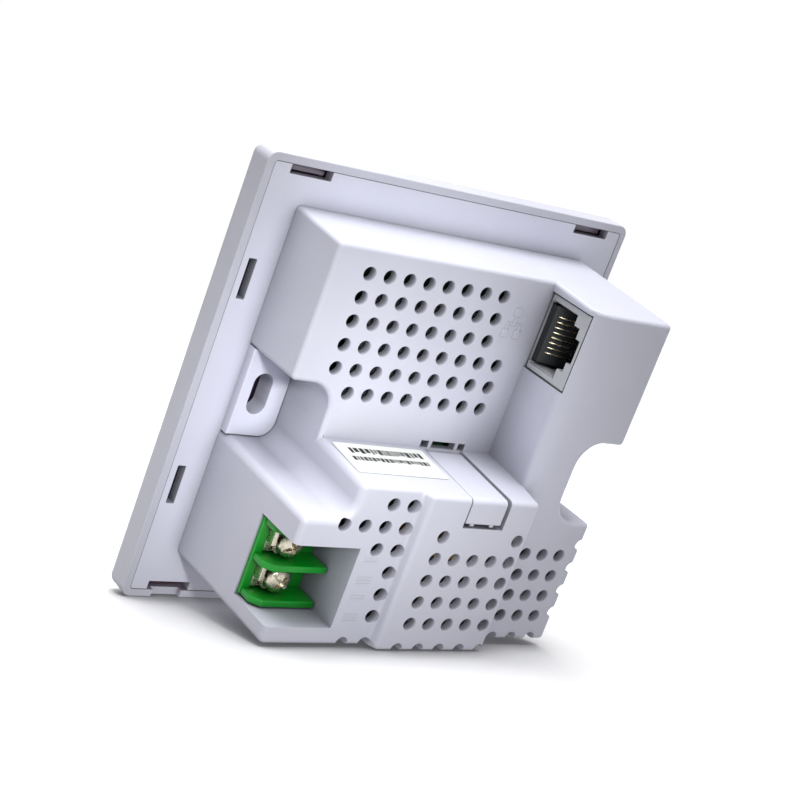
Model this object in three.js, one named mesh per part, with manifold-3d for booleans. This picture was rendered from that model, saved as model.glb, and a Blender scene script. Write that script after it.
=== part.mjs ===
/**
 * In-wall wireless access point: a square wall panel with a stepped box body that sinks into a
 * wall box. A network jack opens sideways in the body's tower, a two-way screw terminal sits in
 * a corner window, and the front cover snaps over a base frame that two box screws hold.
 *
 * Units are millimetres. +Z is up, -Y is the room side, +Y goes into the wall, and Y = 0 is the
 * plane where the panel bears on the wall. Seen from the room, +X is to the right.
 */
import * as THREE from 'three';
import { mergeVertices } from 'three/addons/utils/BufferGeometryUtils.js';
import Module from 'manifold-3d';

const wasm = await Module();
wasm.setup();

// ---------------------------------------------------------------- driving dimensions

const GAP = 0.3; // clearance kept between neighbouring pieces

const PANEL = { size: 86, depth: 6, cornerRadius: 2.2, rim: 1.5, skin: 1.6, frontChamfer: 1.2 };
const FRAME = {
  thickness: 2, openingHalfX: 22.2, openingHalfZ: 29.5, recess: 0.2, cornerRadius: 0.8,
};
const BOX_SCREW = { spacing: 60.3, slotWidth: 4, slotLength: 8, bossHeight: 2.2 };
const EDGE_SNAP = { width: 8.8, depth: 1.5, x: 33.6, tongue: 1 };
const SIDE_SNAP = { width: 7.6, depth: 1.7, z: 20, inset: 2.2, tongue: 1 };
const PRY_NOTCH = { width: 6.2, height: 1.2 };

const BODY = { width: 68.6, height: 68.4, lift: 0.4, wall: 1.6, topDraft: 0.051 };
const LEVEL = { deck: 15.3, tower: 28.5, left: 31.2, centre: 33.1 };
const TOWER = { wallX: -15, edgeRun: 2.6, edgeDrop: 1.5 };
const LEDGE = { z: -1.4, slope: 0.0787 };
const CENTRE = { x0: -15.2, x1: 10.2, ridgeRun: 1 };
const POCKET = { halfHeight: 8.3, x: 24.6, cornerRadius: 5.2, lowerDraft: 0.03 };

const VENT = { radius: 1.2, sides: 8, pitch: 4.4 };
/** Fields of vents: the first hole's place, the count each way, the face, and holes left out. */
const VENT_FIELDS = [
  {
    x0: 26.4, z0: 29.2, columns: 9, rows: 6, level: LEVEL.deck,
    skip: (column, row) => (row < 3 && column === 8) || (row === 5 && column === 0),
  },
  {
    x0: 4.9, z0: -10.6, columns: 5, rows: 5, level: LEVEL.centre,
    skip: (column, row) => row === 0 && column > 0 && column < 4,
  },
  { x0: -20.7, z0: -15.4, columns: 3, rows: 4, level: LEVEL.tower, skip: () => false },
  {
    x0: 25.6, z0: -5.9, columns: 4, rows: 6, level: LEVEL.left,
    skip: (column, row) => (row !== 1 && column < 2) || (row > 2 && column < 3),
  },
];
const NOTCH = { radius: 1.2, pitch: 4.9, depth: 3, inset: 0.3 };
/** Rows of notches along the lower edge: the first one's place, the count and the face. */
const NOTCH_ROWS = [
  { x0: 5.7, count: 5, level: LEVEL.centre },
  { x0: -20.7, count: 3, level: LEVEL.tower },
  { x0: 16.8, count: 2, level: LEVEL.left },
];
const SIDE_NOTCHES = { z0: -13, count: 4, level: LEVEL.tower };

const JACK = {
  width: 14, height: 11.1, depth: 15.7, floor: 0.9, plugWidth: 12.3, plugHeight: 6.7,
  stepOneWidth: 8.7, stepOneHeight: 1.8, stepTwoWidth: 4.7, stepTwoHeight: 1.2,
  plugDepth: 12.4, contactPitch: 1.02, contactWidth: 0.5, contactThickness: 0.35,
};
const SPRING = { rootX: 1.2, rootY: 1.4, tipX: 8, tipY: 4.2 };
const LAN = { x: 0, z: -17.5, recess: 0.2 };

const TERMINAL = {
  barrierPitch: 6.95, barrierThickness: 1.3, bodyDepth: 11.7, baseHeight: 4.5,
  barrierHeight: 5.6, barrierReach: 1.2, topZ: -14.9, windowY: 19.9, boardY: 15.1,
};
const TERMINAL_SCREW = { radius: 1.5, headRadius: 2.3, headHeight: 1.7, pitch: 0.5, lift: 2 };
const CLAMP = { size: 4.6, thickness: 0.8 };
const CONTACT_PLATE = { thickness: 0.8 };

const LATCH = { x0: -7.2, x1: 1.2, y0: 16.7, drop: 4.9, thickness: 1.5, sideGap: 0.8, slit: 1.3 };
const LABEL = { width: 20.4, length: 9.8, thickness: 0.15, x: 12.9, y: 17, gap: 0.1 };

const BOARD = { thickness: 1.6, margin: 0.7, y: 9 };
const POWER_BOARD = { y: 13.2, x0: -13, topZ: -11.2, tabX0: -6, tabX1: 18, tabZ: -4.6 };
const PCB_SCREW = { radius: 1, headRadius: 1.9, headHeight: 1.4, length: 5, postRadius: 2.2 };
const HOUSING_SCREW = { radius: 1.1, headRadius: 2.1, headHeight: 0.8, length: 7, postRadius: 3.2 };
const BOARD_LINK = { x: -9.5, z: -27, sizeX: 4, sizeZ: 8 };
const SHIELD = { x: 10, z: 16, sizeX: 26, sizeZ: 22, height: 2.2, skin: 0.3 };
const PROCESSOR = { x: 10, z: 16, sizeX: 14, sizeZ: 14, height: 1.4 };
const LINE_TRANSFORMER = { x: -13, z: 7, sizeX: 6.5, sizeZ: 12, height: 2.6 };
const HEAT_PLATE = {
  x: 12, z: 12.6, sizeX: 20, sizeZ: 14.4, thickness: 1.6, fins: 5, finPitch: 3.2, finHeight: 3,
};
const ANTENNA = {
  places: [-15, 14], z: 28.2, width: 17, thickness: 0.6, rise: 4.8, foot: 1.6, footWidth: 1.4,
  footPlaces: [-7.6, -4], slitLength: 14, slitHeight: 0.8, slitShift: 2,
};
const TRANSFORMER = { x: -2, z: -21.5, sizeX: 16, sizeZ: 5, height: 12, leg: 3.2, yoke: 2, coil: 3 };
const CAPACITOR = { x: 13.2, places: [-27, -17.6], radius: 3.8, height: 12, groove: 0.3 };
const RECTIFIER = { x: 1, z: -8.2, sizeX: 6.4, sizeZ: 5, height: 2.5 };
const FUSE = { x: 11.5, z: -7.8, radius: 1.6, length: 9, lift: 0.6, clipReach: 3.4, clipWidth: 1.6 };
const SWITCH = { size: 6, plungerRadius: 1.6, plungerHeight: 0.5 };
const LED = { sizeX: 1.6, sizeZ: 1, height: 0.8 };
const BUTTON = { x: 15.5, z: -17.5, radius: 1.1, flangeRadius: 1.9, travel: 0.4 };
const LIGHT = { x: 0, z: 24, radius: 1.3, flangeRadius: 2 };

// ---------------------------------------------------------------- derived places

const bodyHalfX = BODY.width / 2;
const bodyTop = BODY.height / 2 + BODY.lift;
const bodyBottom = -BODY.height / 2 + BODY.lift;
const panelHalf = PANEL.size / 2;
const frameHalf = panelHalf - PANEL.rim - GAP;
const frameFront = -FRAME.thickness;
const housingFront = GAP - FRAME.recess;
const sideSnapX = panelHalf - PANEL.rim - SIDE_SNAP.inset;
const coverInside = -PANEL.depth + PANEL.skin;
const boxScrewX = BOX_SCREW.spacing / 2;
const boardBack = BOARD.y + BOARD.thickness;
const powerBoardBack = POWER_BOARD.y + BOARD.thickness;
const jackFace = TOWER.wallX - GAP;
const jackBase = LEVEL.deck + GAP;
const blockX0 = bodyHalfX - BODY.wall - GAP - TERMINAL.bodyDepth;
const blockX1 = bodyHalfX - BODY.wall - GAP;
const blockSpanZ = 2 * TERMINAL.barrierPitch + TERMINAL.barrierThickness;
const blockTop = TERMINAL.boardY + TERMINAL.baseHeight;
const screwX = (blockX0 + blockX1) / 2 + 1.7;
const plateY = blockTop + GAP;
const clampY = plateY + CONTACT_PLATE.thickness + GAP;
const headY = clampY + CLAMP.thickness + GAP;
const wayZ = [0, 1].map((way) => TERMINAL.topZ - TERMINAL.barrierThickness / 2
  - (way + 0.5) * TERMINAL.barrierPitch);

/** Height of the label ledge, which leans back as it goes deeper. */
const ledgeZ = (y) => LEDGE.z - LEDGE.slope * (y - LEVEL.deck);
/** Height of the body's top wall, which leans in as it goes deeper. */
const topZ = (y) => bodyTop - BODY.topDraft * y;

/** Middle of the wall-side jack, which stands as close under the top wall as its gap allows. */
const wanZ = topZ(jackBase + JACK.height) - BODY.wall - GAP - JACK.width / 2;

// ---------------------------------------------------------------- solid helpers

/** A closed manifold solid from a three.js geometry. */
function solid(geometry) {
  const bare = new THREE.BufferGeometry();
  bare.setAttribute('position', geometry.getAttribute('position'));
  if (geometry.index) bare.setIndex(geometry.index);
  const merged = mergeVertices(bare, 1e-4);
  return new wasm.Manifold(new wasm.Mesh({
    numProp: 3,
    vertProperties: Float32Array.from(merged.getAttribute('position').array),
    triVerts: Uint32Array.from(merged.index.array),
  }));
}

/** A three.js geometry from a manifold solid. */
function geometryOf(body) {
  const mesh = body.getMesh();
  const geometry = new THREE.BufferGeometry();
  geometry.setAttribute('position', new THREE.BufferAttribute(mesh.vertProperties, 3));
  geometry.setIndex(new THREE.BufferAttribute(mesh.triVerts, 1));
  geometry.computeVertexNormals();
  return geometry;
}

/** A box between two corners. */
function block([x0, y0, z0], [x1, y1, z1]) {
  const geometry = new THREE.BoxGeometry(x1 - x0, y1 - y0, z1 - z0);
  geometry.translate((x0 + x1) / 2, (y0 + y1) / 2, (z0 + z1) / 2);
  return solid(geometry);
}

/** A box centred at (x, z), with its depth range given. */
function centredBlock(x, z, sizeX, sizeZ, y0, y1) {
  return block([x - sizeX / 2, y0, z - sizeZ / 2], [x + sizeX / 2, y1, z + sizeZ / 2]);
}

/** A flat shape drawn in X and Z, thickened from y0 to y1. */
function prismY(shape, y0, y1, curveSegments = 6) {
  const depth = y1 - y0;
  const geometry = new THREE.ExtrudeGeometry(shape, { depth, bevelEnabled: false, curveSegments });
  geometry.rotateX(Math.PI / 2);
  geometry.translate(0, y1, 0);
  return solid(geometry);
}

/** A side profile drawn in Y and Z, stretched from x0 to x1. */
function prismX(points, x0, x1) {
  const shape = new THREE.Shape(points.map(([y, z]) => new THREE.Vector2(y, z)));
  const geometry = new THREE.ExtrudeGeometry(shape, { depth: x1 - x0, bevelEnabled: false });
  geometry.applyMatrix4(new THREE.Matrix4().makeBasis(
    new THREE.Vector3(0, 1, 0), new THREE.Vector3(0, 0, 1), new THREE.Vector3(1, 0, 0),
  ));
  geometry.translate(x0, 0, 0);
  return solid(geometry);
}

/** A plan profile drawn in X and Y, stretched from z0 to z1. */
function prismZ(points, z0, z1) {
  const shape = new THREE.Shape(points.map(([x, y]) => new THREE.Vector2(x, y)));
  const geometry = new THREE.ExtrudeGeometry(shape, { depth: z1 - z0, bevelEnabled: false });
  geometry.translate(0, 0, z0);
  return solid(geometry);
}

/** A round bar along Y. */
function barY(x, z, radius, y0, y1, sides = 16) {
  const geometry = new THREE.CylinderGeometry(radius, radius, y1 - y0, sides);
  geometry.translate(x, (y0 + y1) / 2, z);
  return solid(geometry);
}

/** Everything in a list joined together. */
const join = (parts) => parts.reduce((all, part) => all.add(part));

/** A rectangle in X and Z with rounded corners. */
function roundedRect(x0, x1, z0, z1, radius) {
  const shape = new THREE.Shape();
  shape.moveTo(x0 + radius, z0);
  shape.lineTo(x1 - radius, z0);
  shape.absarc(x1 - radius, z0 + radius, radius, -Math.PI / 2, 0, false);
  shape.lineTo(x1, z1 - radius);
  shape.absarc(x1 - radius, z1 - radius, radius, 0, Math.PI / 2, false);
  shape.lineTo(x0 + radius, z1);
  shape.absarc(x0 + radius, z1 - radius, radius, Math.PI / 2, Math.PI, false);
  shape.lineTo(x0, z0 + radius);
  shape.absarc(x0 + radius, z0 + radius, radius, Math.PI, 1.5 * Math.PI, false);
  return shape;
}

/** A slot with round ends, long along Z. */
const obround = (x, z, width, length) => roundedRect(
  x - width / 2, x + width / 2, z - length / 2, z + length / 2, width / 2 - 0.01,
);

// ---------------------------------------------------------------- materials

const finish = (color, roughness, metalness = 0) => (
  new THREE.MeshStandardMaterial({ color, roughness, metalness })
);
const MATERIAL = {
  shell: finish(0xc9cad8, 0.5),
  cover: finish(0xd2d2dc, 0.45),
  green: finish(0x1f8f35, 0.45),
  nickel: finish(0xb9b3a6, 0.35, 0.9),
  jackShell: finish(0xa4aaaa, 0.5),
  black: finish(0x151618, 0.55),
  gold: finish(0xc9a24a, 0.3, 0.95),
  label: finish(0xeef0ec, 0.6),
  boardGreen: finish(0x1d5b34, 0.5),
  steel: finish(0x9fa3a8, 0.35, 0.9),
  aluminium: finish(0xb4b7bb, 0.4, 0.85),
  ferrite: finish(0x33343a, 0.7),
  tape: finish(0xd8b23a, 0.5),
  sleeve: finish(0x23324f, 0.4),
  clear: finish(0xe8f2f4, 0.15),
  ceramic: finish(0xe6e2d6, 0.5),
};

// ---------------------------------------------------------------- front cover and base frame

/** The four places where a snap sits along the top and bottom edges, or along the sides. */
const edgeSnaps = [-1, 1].flatMap((sx) => [-1, 1].map((sz) => [sx * EDGE_SNAP.x, sz]));
const sideSnaps = [-1, 1].flatMap((sx) => [-1, 1].map((sz) => [sx, sz * SIDE_SNAP.z]));

/** The snap-on cover: a shallow tray with a chamfered front and eight snap tongues. */
function frontCover() {
  const { cornerRadius, rim, frontChamfer, depth } = PANEL;
  const square = (half, radius) => roundedRect(-half, half, -half, half, radius);
  const bevel = {
    depth: depth - frontChamfer, bevelThickness: frontChamfer, bevelSize: frontChamfer,
    bevelOffset: -frontChamfer, bevelSegments: 2, curveSegments: 4,
  };
  const outer = new THREE.ExtrudeGeometry(square(panelHalf, cornerRadius), bevel);
  outer.rotateX(Math.PI / 2);
  const lower = block([-panelHalf - 1, -depth - 1, -panelHalf - 1],
    [panelHalf + 1, 0, panelHalf + 1]);
  const inner = prismY(square(panelHalf - rim, cornerRadius - rim), coverInside, 1, 4);
  const tongues = [
    ...edgeSnaps.map(([x, sz]) => centredBlock(
      x, sz * (frameHalf - EDGE_SNAP.depth / 2), EDGE_SNAP.width - 2 * GAP, EDGE_SNAP.tongue,
      coverInside - 0.2, -GAP,
    )),
    ...sideSnaps.map(([sx, z]) => centredBlock(
      sx * sideSnapX, z, SIDE_SNAP.tongue,
      SIDE_SNAP.width - 2 * GAP, coverInside - 0.2, -GAP,
    )),
  ];
  const pry = [-1, 1].map((sx) => block(
    [sx * EDGE_SNAP.x - PRY_NOTCH.width / 2, -PRY_NOTCH.height, -panelHalf - 1],
    [sx * EDGE_SNAP.x + PRY_NOTCH.width / 2, 1, -panelHalf + rim + 0.2],
  ));
  const lanHole = centredBlock(LAN.x, LAN.z, JACK.width + 2 * GAP, JACK.height + 2 * GAP,
    -depth - 1, 0);
  const buttonHole = barY(BUTTON.x, BUTTON.z, BUTTON.radius + GAP, -depth - 1, 0, 12);
  const lightHole = barY(LIGHT.x, LIGHT.z, LIGHT.radius + GAP, -depth - 1, 0, 12);
  return solid(outer).intersect(lower).subtract(inner).add(join(tongues))
    .subtract(join([...pry, lanHole, buttonHole, lightHole]));
}

/** Footprint of the pocket that clears a box screw, on the side given by its sign. */
function pocketShape(side, grow = 0) {
  const reach = panelHalf;
  const x0 = POCKET.x - grow;
  const half = POCKET.halfHeight + grow;
  const radius = POCKET.cornerRadius + grow;
  const shape = new THREE.Shape();
  shape.moveTo(side * reach, half);
  shape.lineTo(side * (x0 + radius), half);
  const centreX = side * (x0 + radius);
  const inward = side > 0 ? Math.PI : 0;
  shape.absarc(centreX, half - radius, radius, Math.PI / 2, inward, side < 0);
  shape.lineTo(side * x0, radius - half);
  shape.absarc(centreX, radius - half, radius, inward, side > 0 ? 1.5 * Math.PI : -Math.PI / 2,
    side < 0);
  shape.lineTo(side * reach, -half);
  return shape;
}

/** The base frame: a flat ring with raised bosses and slots for the two box screws. */
function baseFrame() {
  const plate = prismY(roundedRect(-frameHalf, frameHalf, -frameHalf, frameHalf, FRAME.cornerRadius),
    frameFront, 0, 2);
  const opening = centredBlock(0, 0, 2 * FRAME.openingHalfX, 2 * FRAME.openingHalfZ,
    frameFront - 1, 1);
  const seat = block([-bodyHalfX - GAP, -FRAME.recess, bodyBottom - GAP],
    [bodyHalfX + GAP, 1, bodyTop + GAP]);
  const bosses = [-1, 1].map((side) => prismY(pocketShape(side, -GAP), -0.5, BOX_SCREW.bossHeight)
    .intersect(block([-bodyHalfX, -1, -20], [bodyHalfX, 5, 20])));
  const slots = [-1, 1].map((side) => prismY(
    obround(side * boxScrewX, 0, BOX_SCREW.slotWidth, BOX_SCREW.slotLength),
    frameFront - 1, BOX_SCREW.bossHeight + 1, 5,
  ));
  const snapCuts = [
    ...edgeSnaps.map(([x, sz]) => centredBlock(
      x, sz * frameHalf, EDGE_SNAP.width, 2 * EDGE_SNAP.depth, frameFront - 1, 1,
    )),
    ...sideSnaps.map(([sx, z]) => centredBlock(
      sx * sideSnapX, z, SIDE_SNAP.depth, SIDE_SNAP.width,
      frameFront - 1, 1,
    )),
  ];
  const screwHoles = housingPosts.flatMap(([x, z]) => [
    barY(x, z, HOUSING_SCREW.radius + GAP, frameFront - 1, 1, 12),
    barY(x, z, HOUSING_SCREW.headRadius + GAP, frameFront - 1, frameFront + 1.2, 12),
  ]);
  return plate.subtract(opening).subtract(seat).add(join(bosses))
    .subtract(join([...slots, ...snapCuts, ...screwHoles]));
}

// ---------------------------------------------------------------- rear housing

/** The stepped outside of the body, or its inside when it is drawn in by a wall. */
function steppedBody(inset, front) {
  const halfX = bodyHalfX - inset;
  const bottom = bodyBottom + inset;
  const top = (y) => topZ(y) - inset;
  const layer = (y, x0, x1, roof) => prismX(
    [[front, bottom], [y, bottom], [y, roof(y)], [front, roof(front)]], x0, x1,
  );
  const ledge = (y) => ledgeZ(y) - inset;
  const towerWall = TOWER.wallX - inset;
  const towerTop = LEVEL.tower - inset;
  const towerBox = layer(towerTop, -halfX, towerWall, top);
  const towerEdge = prismZ([
    [towerWall + 1, towerTop - TOWER.edgeDrop], [towerWall, towerTop - TOWER.edgeDrop],
    [towerWall - TOWER.edgeRun, towerTop], [towerWall - TOWER.edgeRun, towerTop + 1],
    [towerWall + 1, towerTop + 1],
  ], bottom - 1, bodyTop + 1);
  const tower = inset > 0 ? towerBox : towerBox.subtract(towerEdge);
  const ridge = prismZ([
    [CENTRE.x0 + inset, front], [CENTRE.x0 + inset, LEVEL.centre - inset],
    [CENTRE.x1 - inset, LEVEL.centre - inset],
    [CENTRE.x1 + CENTRE.ridgeRun - inset, LEVEL.left - inset],
    [CENTRE.x1 + CENTRE.ridgeRun - inset, front],
  ], bottom - 1, bodyTop + 1);
  const centre = layer(LEVEL.centre - inset, -halfX, halfX, ledge).intersect(ridge);
  return join([
    layer(LEVEL.deck - inset, -halfX, halfX, top),
    tower,
    layer(LEVEL.left - inset, CENTRE.x0 + inset, halfX, ledge),
    layer(LEVEL.tower - inset, -halfX, CENTRE.x0 + inset + 1, ledge),
    centre,
  ]);
}

/** The room that a box screw needs beside the body, with a leaning lower wall. */
function pocketCut(side, grow = 0) {
  const far = LEVEL.centre + 5;
  const low = -POCKET.halfHeight - grow;
  const profile = [
    [-1, POCKET.halfHeight + grow], [far, POCKET.halfHeight + grow],
    [far, low - POCKET.lowerDraft * far], [-1, low],
  ];
  const straight = prismY(pocketShape(side, grow), -1, far);
  if (side < 0) return straight;
  const valley = block([side * (POCKET.x - grow), -1, low - 2], [side * panelHalf, far, 0]);
  return straight.add(valley).intersect(prismX(profile, -panelHalf, panelHalf));
}

/** Places where the boards screw to the housing: x, z and the level of the ceiling there. */
const boardPosts = [
  [bodyHalfX - BODY.wall - PCB_SCREW.postRadius - GAP, 22, LEVEL.deck],
  [-27.6, POCKET.halfHeight + BODY.wall + PCB_SCREW.postRadius - 0.2, LEVEL.tower],
  [-27.3, -POCKET.halfHeight - BODY.wall - PCB_SCREW.postRadius + 0.2, LEVEL.tower],
  [CENTRE.x0 + BODY.wall + PCB_SCREW.postRadius + 0.2, -5.6, LEVEL.centre],
];

/** Places where the housing screws to the base frame: its four inner corners. */
const postInset = BODY.wall + HOUSING_SCREW.postRadius - 0.4;
const housingPosts = [-1, 1].flatMap((side) => [
  [side * (bodyHalfX - postInset), bodyTop - postInset - 0.5],
  [side * (bodyHalfX - postInset), bodyBottom + postInset],
]);

/** The round vents of one field, leaving out the places that skip names. */
function ventField({ x0, z0, columns, rows, level, skip }) {
  const vents = [];
  for (let row = 0; row < rows; row += 1) {
    for (let column = 0; column < columns; column += 1) {
      if (!skip(column, row)) {
        vents.push(barY(x0 - column * VENT.pitch, z0 - row * VENT.pitch, VENT.radius,
          level - BODY.wall - 1, level + 1, VENT.sides));
      }
    }
  }
  return vents;
}

/** One half-round notch, cut in from a face. */
function notch(x, z, level) {
  return barY(x, z, NOTCH.radius, level - NOTCH.depth, level + 1, VENT.sides);
}

/** Notches along the body's lower edge. */
function notchRow({ x0, count, level }) {
  return Array.from({ length: count }, (_, index) => notch(
    x0 - index * NOTCH.pitch, bodyBottom + NOTCH.inset, level,
  ));
}

/** All the vents and notches of the housing. */
function vents() {
  const { z0, count, level } = SIDE_NOTCHES;
  const side = Array.from({ length: count }, (_, index) => notch(
    -bodyHalfX + NOTCH.inset, z0 - index * NOTCH.pitch, level,
  ));
  return [...VENT_FIELDS.flatMap(ventField), ...NOTCH_ROWS.flatMap(notchRow), ...side];
}

/** The walled recess that holds the screw terminal, open to the side and to the back. */
function terminalRecess() {
  const z1 = TERMINAL.topZ + GAP;
  const z0 = TERMINAL.topZ - blockSpanZ - GAP;
  const x0 = blockX0 - GAP;
  const wall = BODY.wall - 0.2;
  const roof = LEVEL.left - 0.5;
  const shell = block([x0 - wall, TERMINAL.boardY, bodyBottom + 0.5],
    [bodyHalfX - 0.5, roof, z1 + wall]);
  const bay = block([x0, TERMINAL.boardY - 1, z0], [blockX1 + GAP, LEVEL.left + 1, z1]);
  const window = block([x0, TERMINAL.windowY, z0], [bodyHalfX + 1, LEVEL.left + 1, z1]);
  return { shell, cut: bay.add(window) };
}

/** Room for the latch: its own outline plus the slits around it. */
function latchCut() {
  const { x0, x1, y0, drop, thickness, sideGap, slit } = LATCH;
  const foot = ledgeZ(LEVEL.centre) - drop;
  const inner = LEVEL.centre - thickness - 1;
  return join([
    block([x0 - sideGap, y0 - slit, foot - sideGap], [x1 + GAP, LEVEL.centre + 1, 0]),
    block([x0 - sideGap, LEVEL.deck - BODY.wall - 1, LEDGE.z], [x1 + GAP, LEVEL.deck + 1,
      LEDGE.z + slit]),
  ]).subtract(block([x0 - 5, 0, foot - 5], [x1 + 5, inner, foot + 1]));
}

/** The stepped rear housing with its posts, recess, jack window, latch opening and vents. */
function rearHousing() {
  const outside = steppedBody(0, housingFront);
  const inside = steppedBody(BODY.wall, -1);
  const pockets = [-1, 1].map((side) => pocketCut(side));
  const pocketWalls = [-1, 1].map((side) => pocketCut(side, BODY.wall));
  const cavity = inside.subtract(join(pocketWalls));
  const posts = [
    ...boardPosts.map(([x, z, ceiling]) => barY(
      x, z, PCB_SCREW.postRadius, boardBack + GAP, ceiling - 0.5, 12,
    )),
    ...housingPosts.map(([x, z]) => barY(
      x, z, HOUSING_SCREW.postRadius, housingFront, BOARD.y - GAP - 0.7, 12,
    ).intersect(outside)),
  ];
  const bores = [
    ...boardPosts.map(([x, z]) => barY(
      x, z, PCB_SCREW.radius + GAP, boardBack, BOARD.y + PCB_SCREW.length, 8,
    )),
    ...housingPosts.map(([x, z]) => barY(
      x, z, HOUSING_SCREW.radius + GAP, -1, HOUSING_SCREW.length - 0.6, 8,
    )),
  ];
  const jackWindow = block(
    [TOWER.wallX - BODY.wall - 1, LEVEL.deck, wanZ - JACK.width / 2 - GAP],
    [TOWER.wallX + 1, jackBase + JACK.height + GAP, wanZ + JACK.width / 2 + GAP],
  );
  const recess = terminalRecess();
  return outside.subtract(cavity).add(recess.shell).add(join(posts))
    .subtract(join([...pockets, ...bores, jackWindow, recess.cut, latchCut(), ...vents()]));
}

// ---------------------------------------------------------------- latch and label

/** The snap latch: an L that lies in the ledge and turns down over the centre face. */
function latchClip() {
  const { x0, x1, y0, drop, thickness } = LATCH;
  const face = LEVEL.centre;
  const foot = ledgeZ(face) - drop;
  const arm = prismX([
    [y0, ledgeZ(y0)], [face, ledgeZ(face)], [face, foot], [face - thickness, foot],
    [face - thickness, ledgeZ(face) - thickness], [y0, ledgeZ(y0) - thickness],
  ], x0, x1);
  const hooks = [0.25, 0.8].map((share) => {
    const x = x0 + share * (x1 - x0);
    return block([x - 0.6, face - thickness + 0.2, foot - 0.5], [x + 0.6, face - 0.5, foot + 0.2]);
  });
  return arm.add(join(hooks));
}

/** The rating label, which lies on the leaning ledge. */
function ratingLabel() {
  const low = (y) => ledgeZ(y) + LABEL.gap;
  const y1 = LABEL.y + LABEL.length;
  return prismX([
    [LABEL.y, low(LABEL.y)], [y1, low(y1)], [y1, low(y1) + LABEL.thickness],
    [LABEL.y, low(LABEL.y) + LABEL.thickness],
  ], LABEL.x - LABEL.width / 2, LABEL.x + LABEL.width / 2);
}

// ---------------------------------------------------------------- screw terminal

/** The green two-way block: a base with a chamfered barrier on each side of each way. */
function terminalBlock() {
  const { barrierPitch, barrierThickness, barrierHeight, barrierReach, boardY, topZ: top } = TERMINAL;
  const base = block([blockX0, boardY, top - blockSpanZ], [blockX1, blockTop, top]);
  const sill = TERMINAL.windowY + GAP;
  const crest = blockTop + barrierHeight;
  const profile = [
    [blockX0, blockTop - 0.2], [blockX1, blockTop - 0.2], [blockX1, sill],
    [blockX1 + barrierReach, sill], [blockX1 + barrierReach, crest - 1.5],
    [blockX1 + barrierReach - 1.5, crest], [blockX0, crest],
  ];
  const barriers = [0, 1, 2].map((index) => {
    const z1 = top - index * barrierPitch;
    return prismZ(profile, z1 - barrierThickness, z1);
  });
  const bores = wayZ.map((z) => barY(screwX, z, TERMINAL_SCREW.radius + GAP, boardY + 0.8,
    blockTop + 1, 12));
  return base.add(join(barriers)).subtract(join(bores));
}

/** The fixed strip that the wire is clamped against. */
function contactPlate(z) {
  const width = TERMINAL.barrierPitch - TERMINAL.barrierThickness - 2 * GAP;
  const x0 = screwX - TERMINAL_SCREW.headRadius;
  const x1 = blockX1 - GAP;
  const strip = block([x0, plateY, z - width / 2], [x1, plateY + CONTACT_PLATE.thickness,
    z + width / 2]);
  return strip.subtract(barY(screwX, z, TERMINAL_SCREW.radius + GAP, plateY - 1, plateY + 2, 12));
}

/** The captive square washer that rises and falls with its screw. */
function screwClamp(z) {
  const plate = centredBlock(screwX, z, CLAMP.size, CLAMP.size, clampY, clampY + CLAMP.thickness);
  return plate.subtract(barY(screwX, z, TERMINAL_SCREW.radius + GAP, clampY - 1, clampY + 2, 12));
}

/** A screw along Y with a cross recess, its head towards +Y (turn 1) or -Y (turn -1). */
function crossScrew(x, z, size, length, seatY, turn) {
  const { radius, headRadius, headHeight } = size;
  const between = (r, from, to, sides) => barY(x, z, r, Math.min(from, to), Math.max(from, to), sides);
  const crown = seatY + turn * headHeight;
  const head = between(headRadius, seatY, crown, 16);
  const shank = between(radius, seatY + turn * 0.2, seatY - turn * length, 12);
  const long = 2 * headRadius * 0.68;
  const floor = crown - turn * headHeight * 0.5;
  const cut = (sizeX, sizeZ) => centredBlock(x, z, sizeX, sizeZ, Math.min(floor, crown + turn),
    Math.max(floor, crown + turn));
  return head.add(shank).subtract(cut(long, 0.5).add(cut(0.5, long)));
}

// ---------------------------------------------------------------- network jacks

/**
 * The shell of a network jack in its own frame: X into the jack from its face, Y from the contact
 * side to the latch side, Z across. footDrop is how far its foot stands below the contact side.
 */
function jackShell(depth, footDrop = 0) {
  const half = JACK.width / 2;
  const outer = block([0, 0, -half], [depth, JACK.height, half]);
  const bodyParts = [outer];
  if (footDrop > 0) {
    const behindWall = BODY.wall + 2 * GAP;
    bodyParts.push(block([behindWall, -footDrop, -half], [depth, 0.2, half]));
  }
  const stepOneTop = JACK.floor + JACK.plugHeight + JACK.stepOneHeight;
  const cut = (width, y0, y1) => block([-1, y0, -width / 2], [JACK.plugDepth, y1, width / 2]);
  const mouth = [
    cut(JACK.plugWidth, JACK.floor, JACK.floor + JACK.plugHeight),
    cut(JACK.stepOneWidth, JACK.floor, stepOneTop),
    cut(JACK.stepTwoWidth, JACK.floor, stepOneTop + JACK.stepTwoHeight),
  ];
  return join(bodyParts).subtract(join(mouth));
}

/** Eight spring contacts that rise from a common root near the mouth. */
function jackContacts() {
  const { rootX, rootY, tipX, tipY } = SPRING;
  const t = JACK.contactThickness;
  const span = 7 * JACK.contactPitch + JACK.contactWidth;
  const root = block([rootX - 0.4, rootY - 0.2, -span / 2], [rootX + 0.4, rootY + 0.3, span / 2]);
  const fingers = Array.from({ length: 8 }, (_, index) => {
    const z = (index - 3.5) * JACK.contactPitch;
    return prismZ([[rootX, rootY - 0.1], [tipX, tipY - t], [tipX, tipY], [rootX, rootY + t]],
      z - JACK.contactWidth / 2, z + JACK.contactWidth / 2);
  });
  return root.add(join(fingers));
}

/** The insulating comb behind the contacts. */
function jackComb() {
  const width = JACK.plugWidth - 2 * GAP;
  return block([SPRING.tipX + 0.8, JACK.floor + GAP, -width / 2],
    [JACK.plugDepth - GAP, SPRING.tipY + 1, width / 2]);
}

// ---------------------------------------------------------------- boards and what they carry

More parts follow.
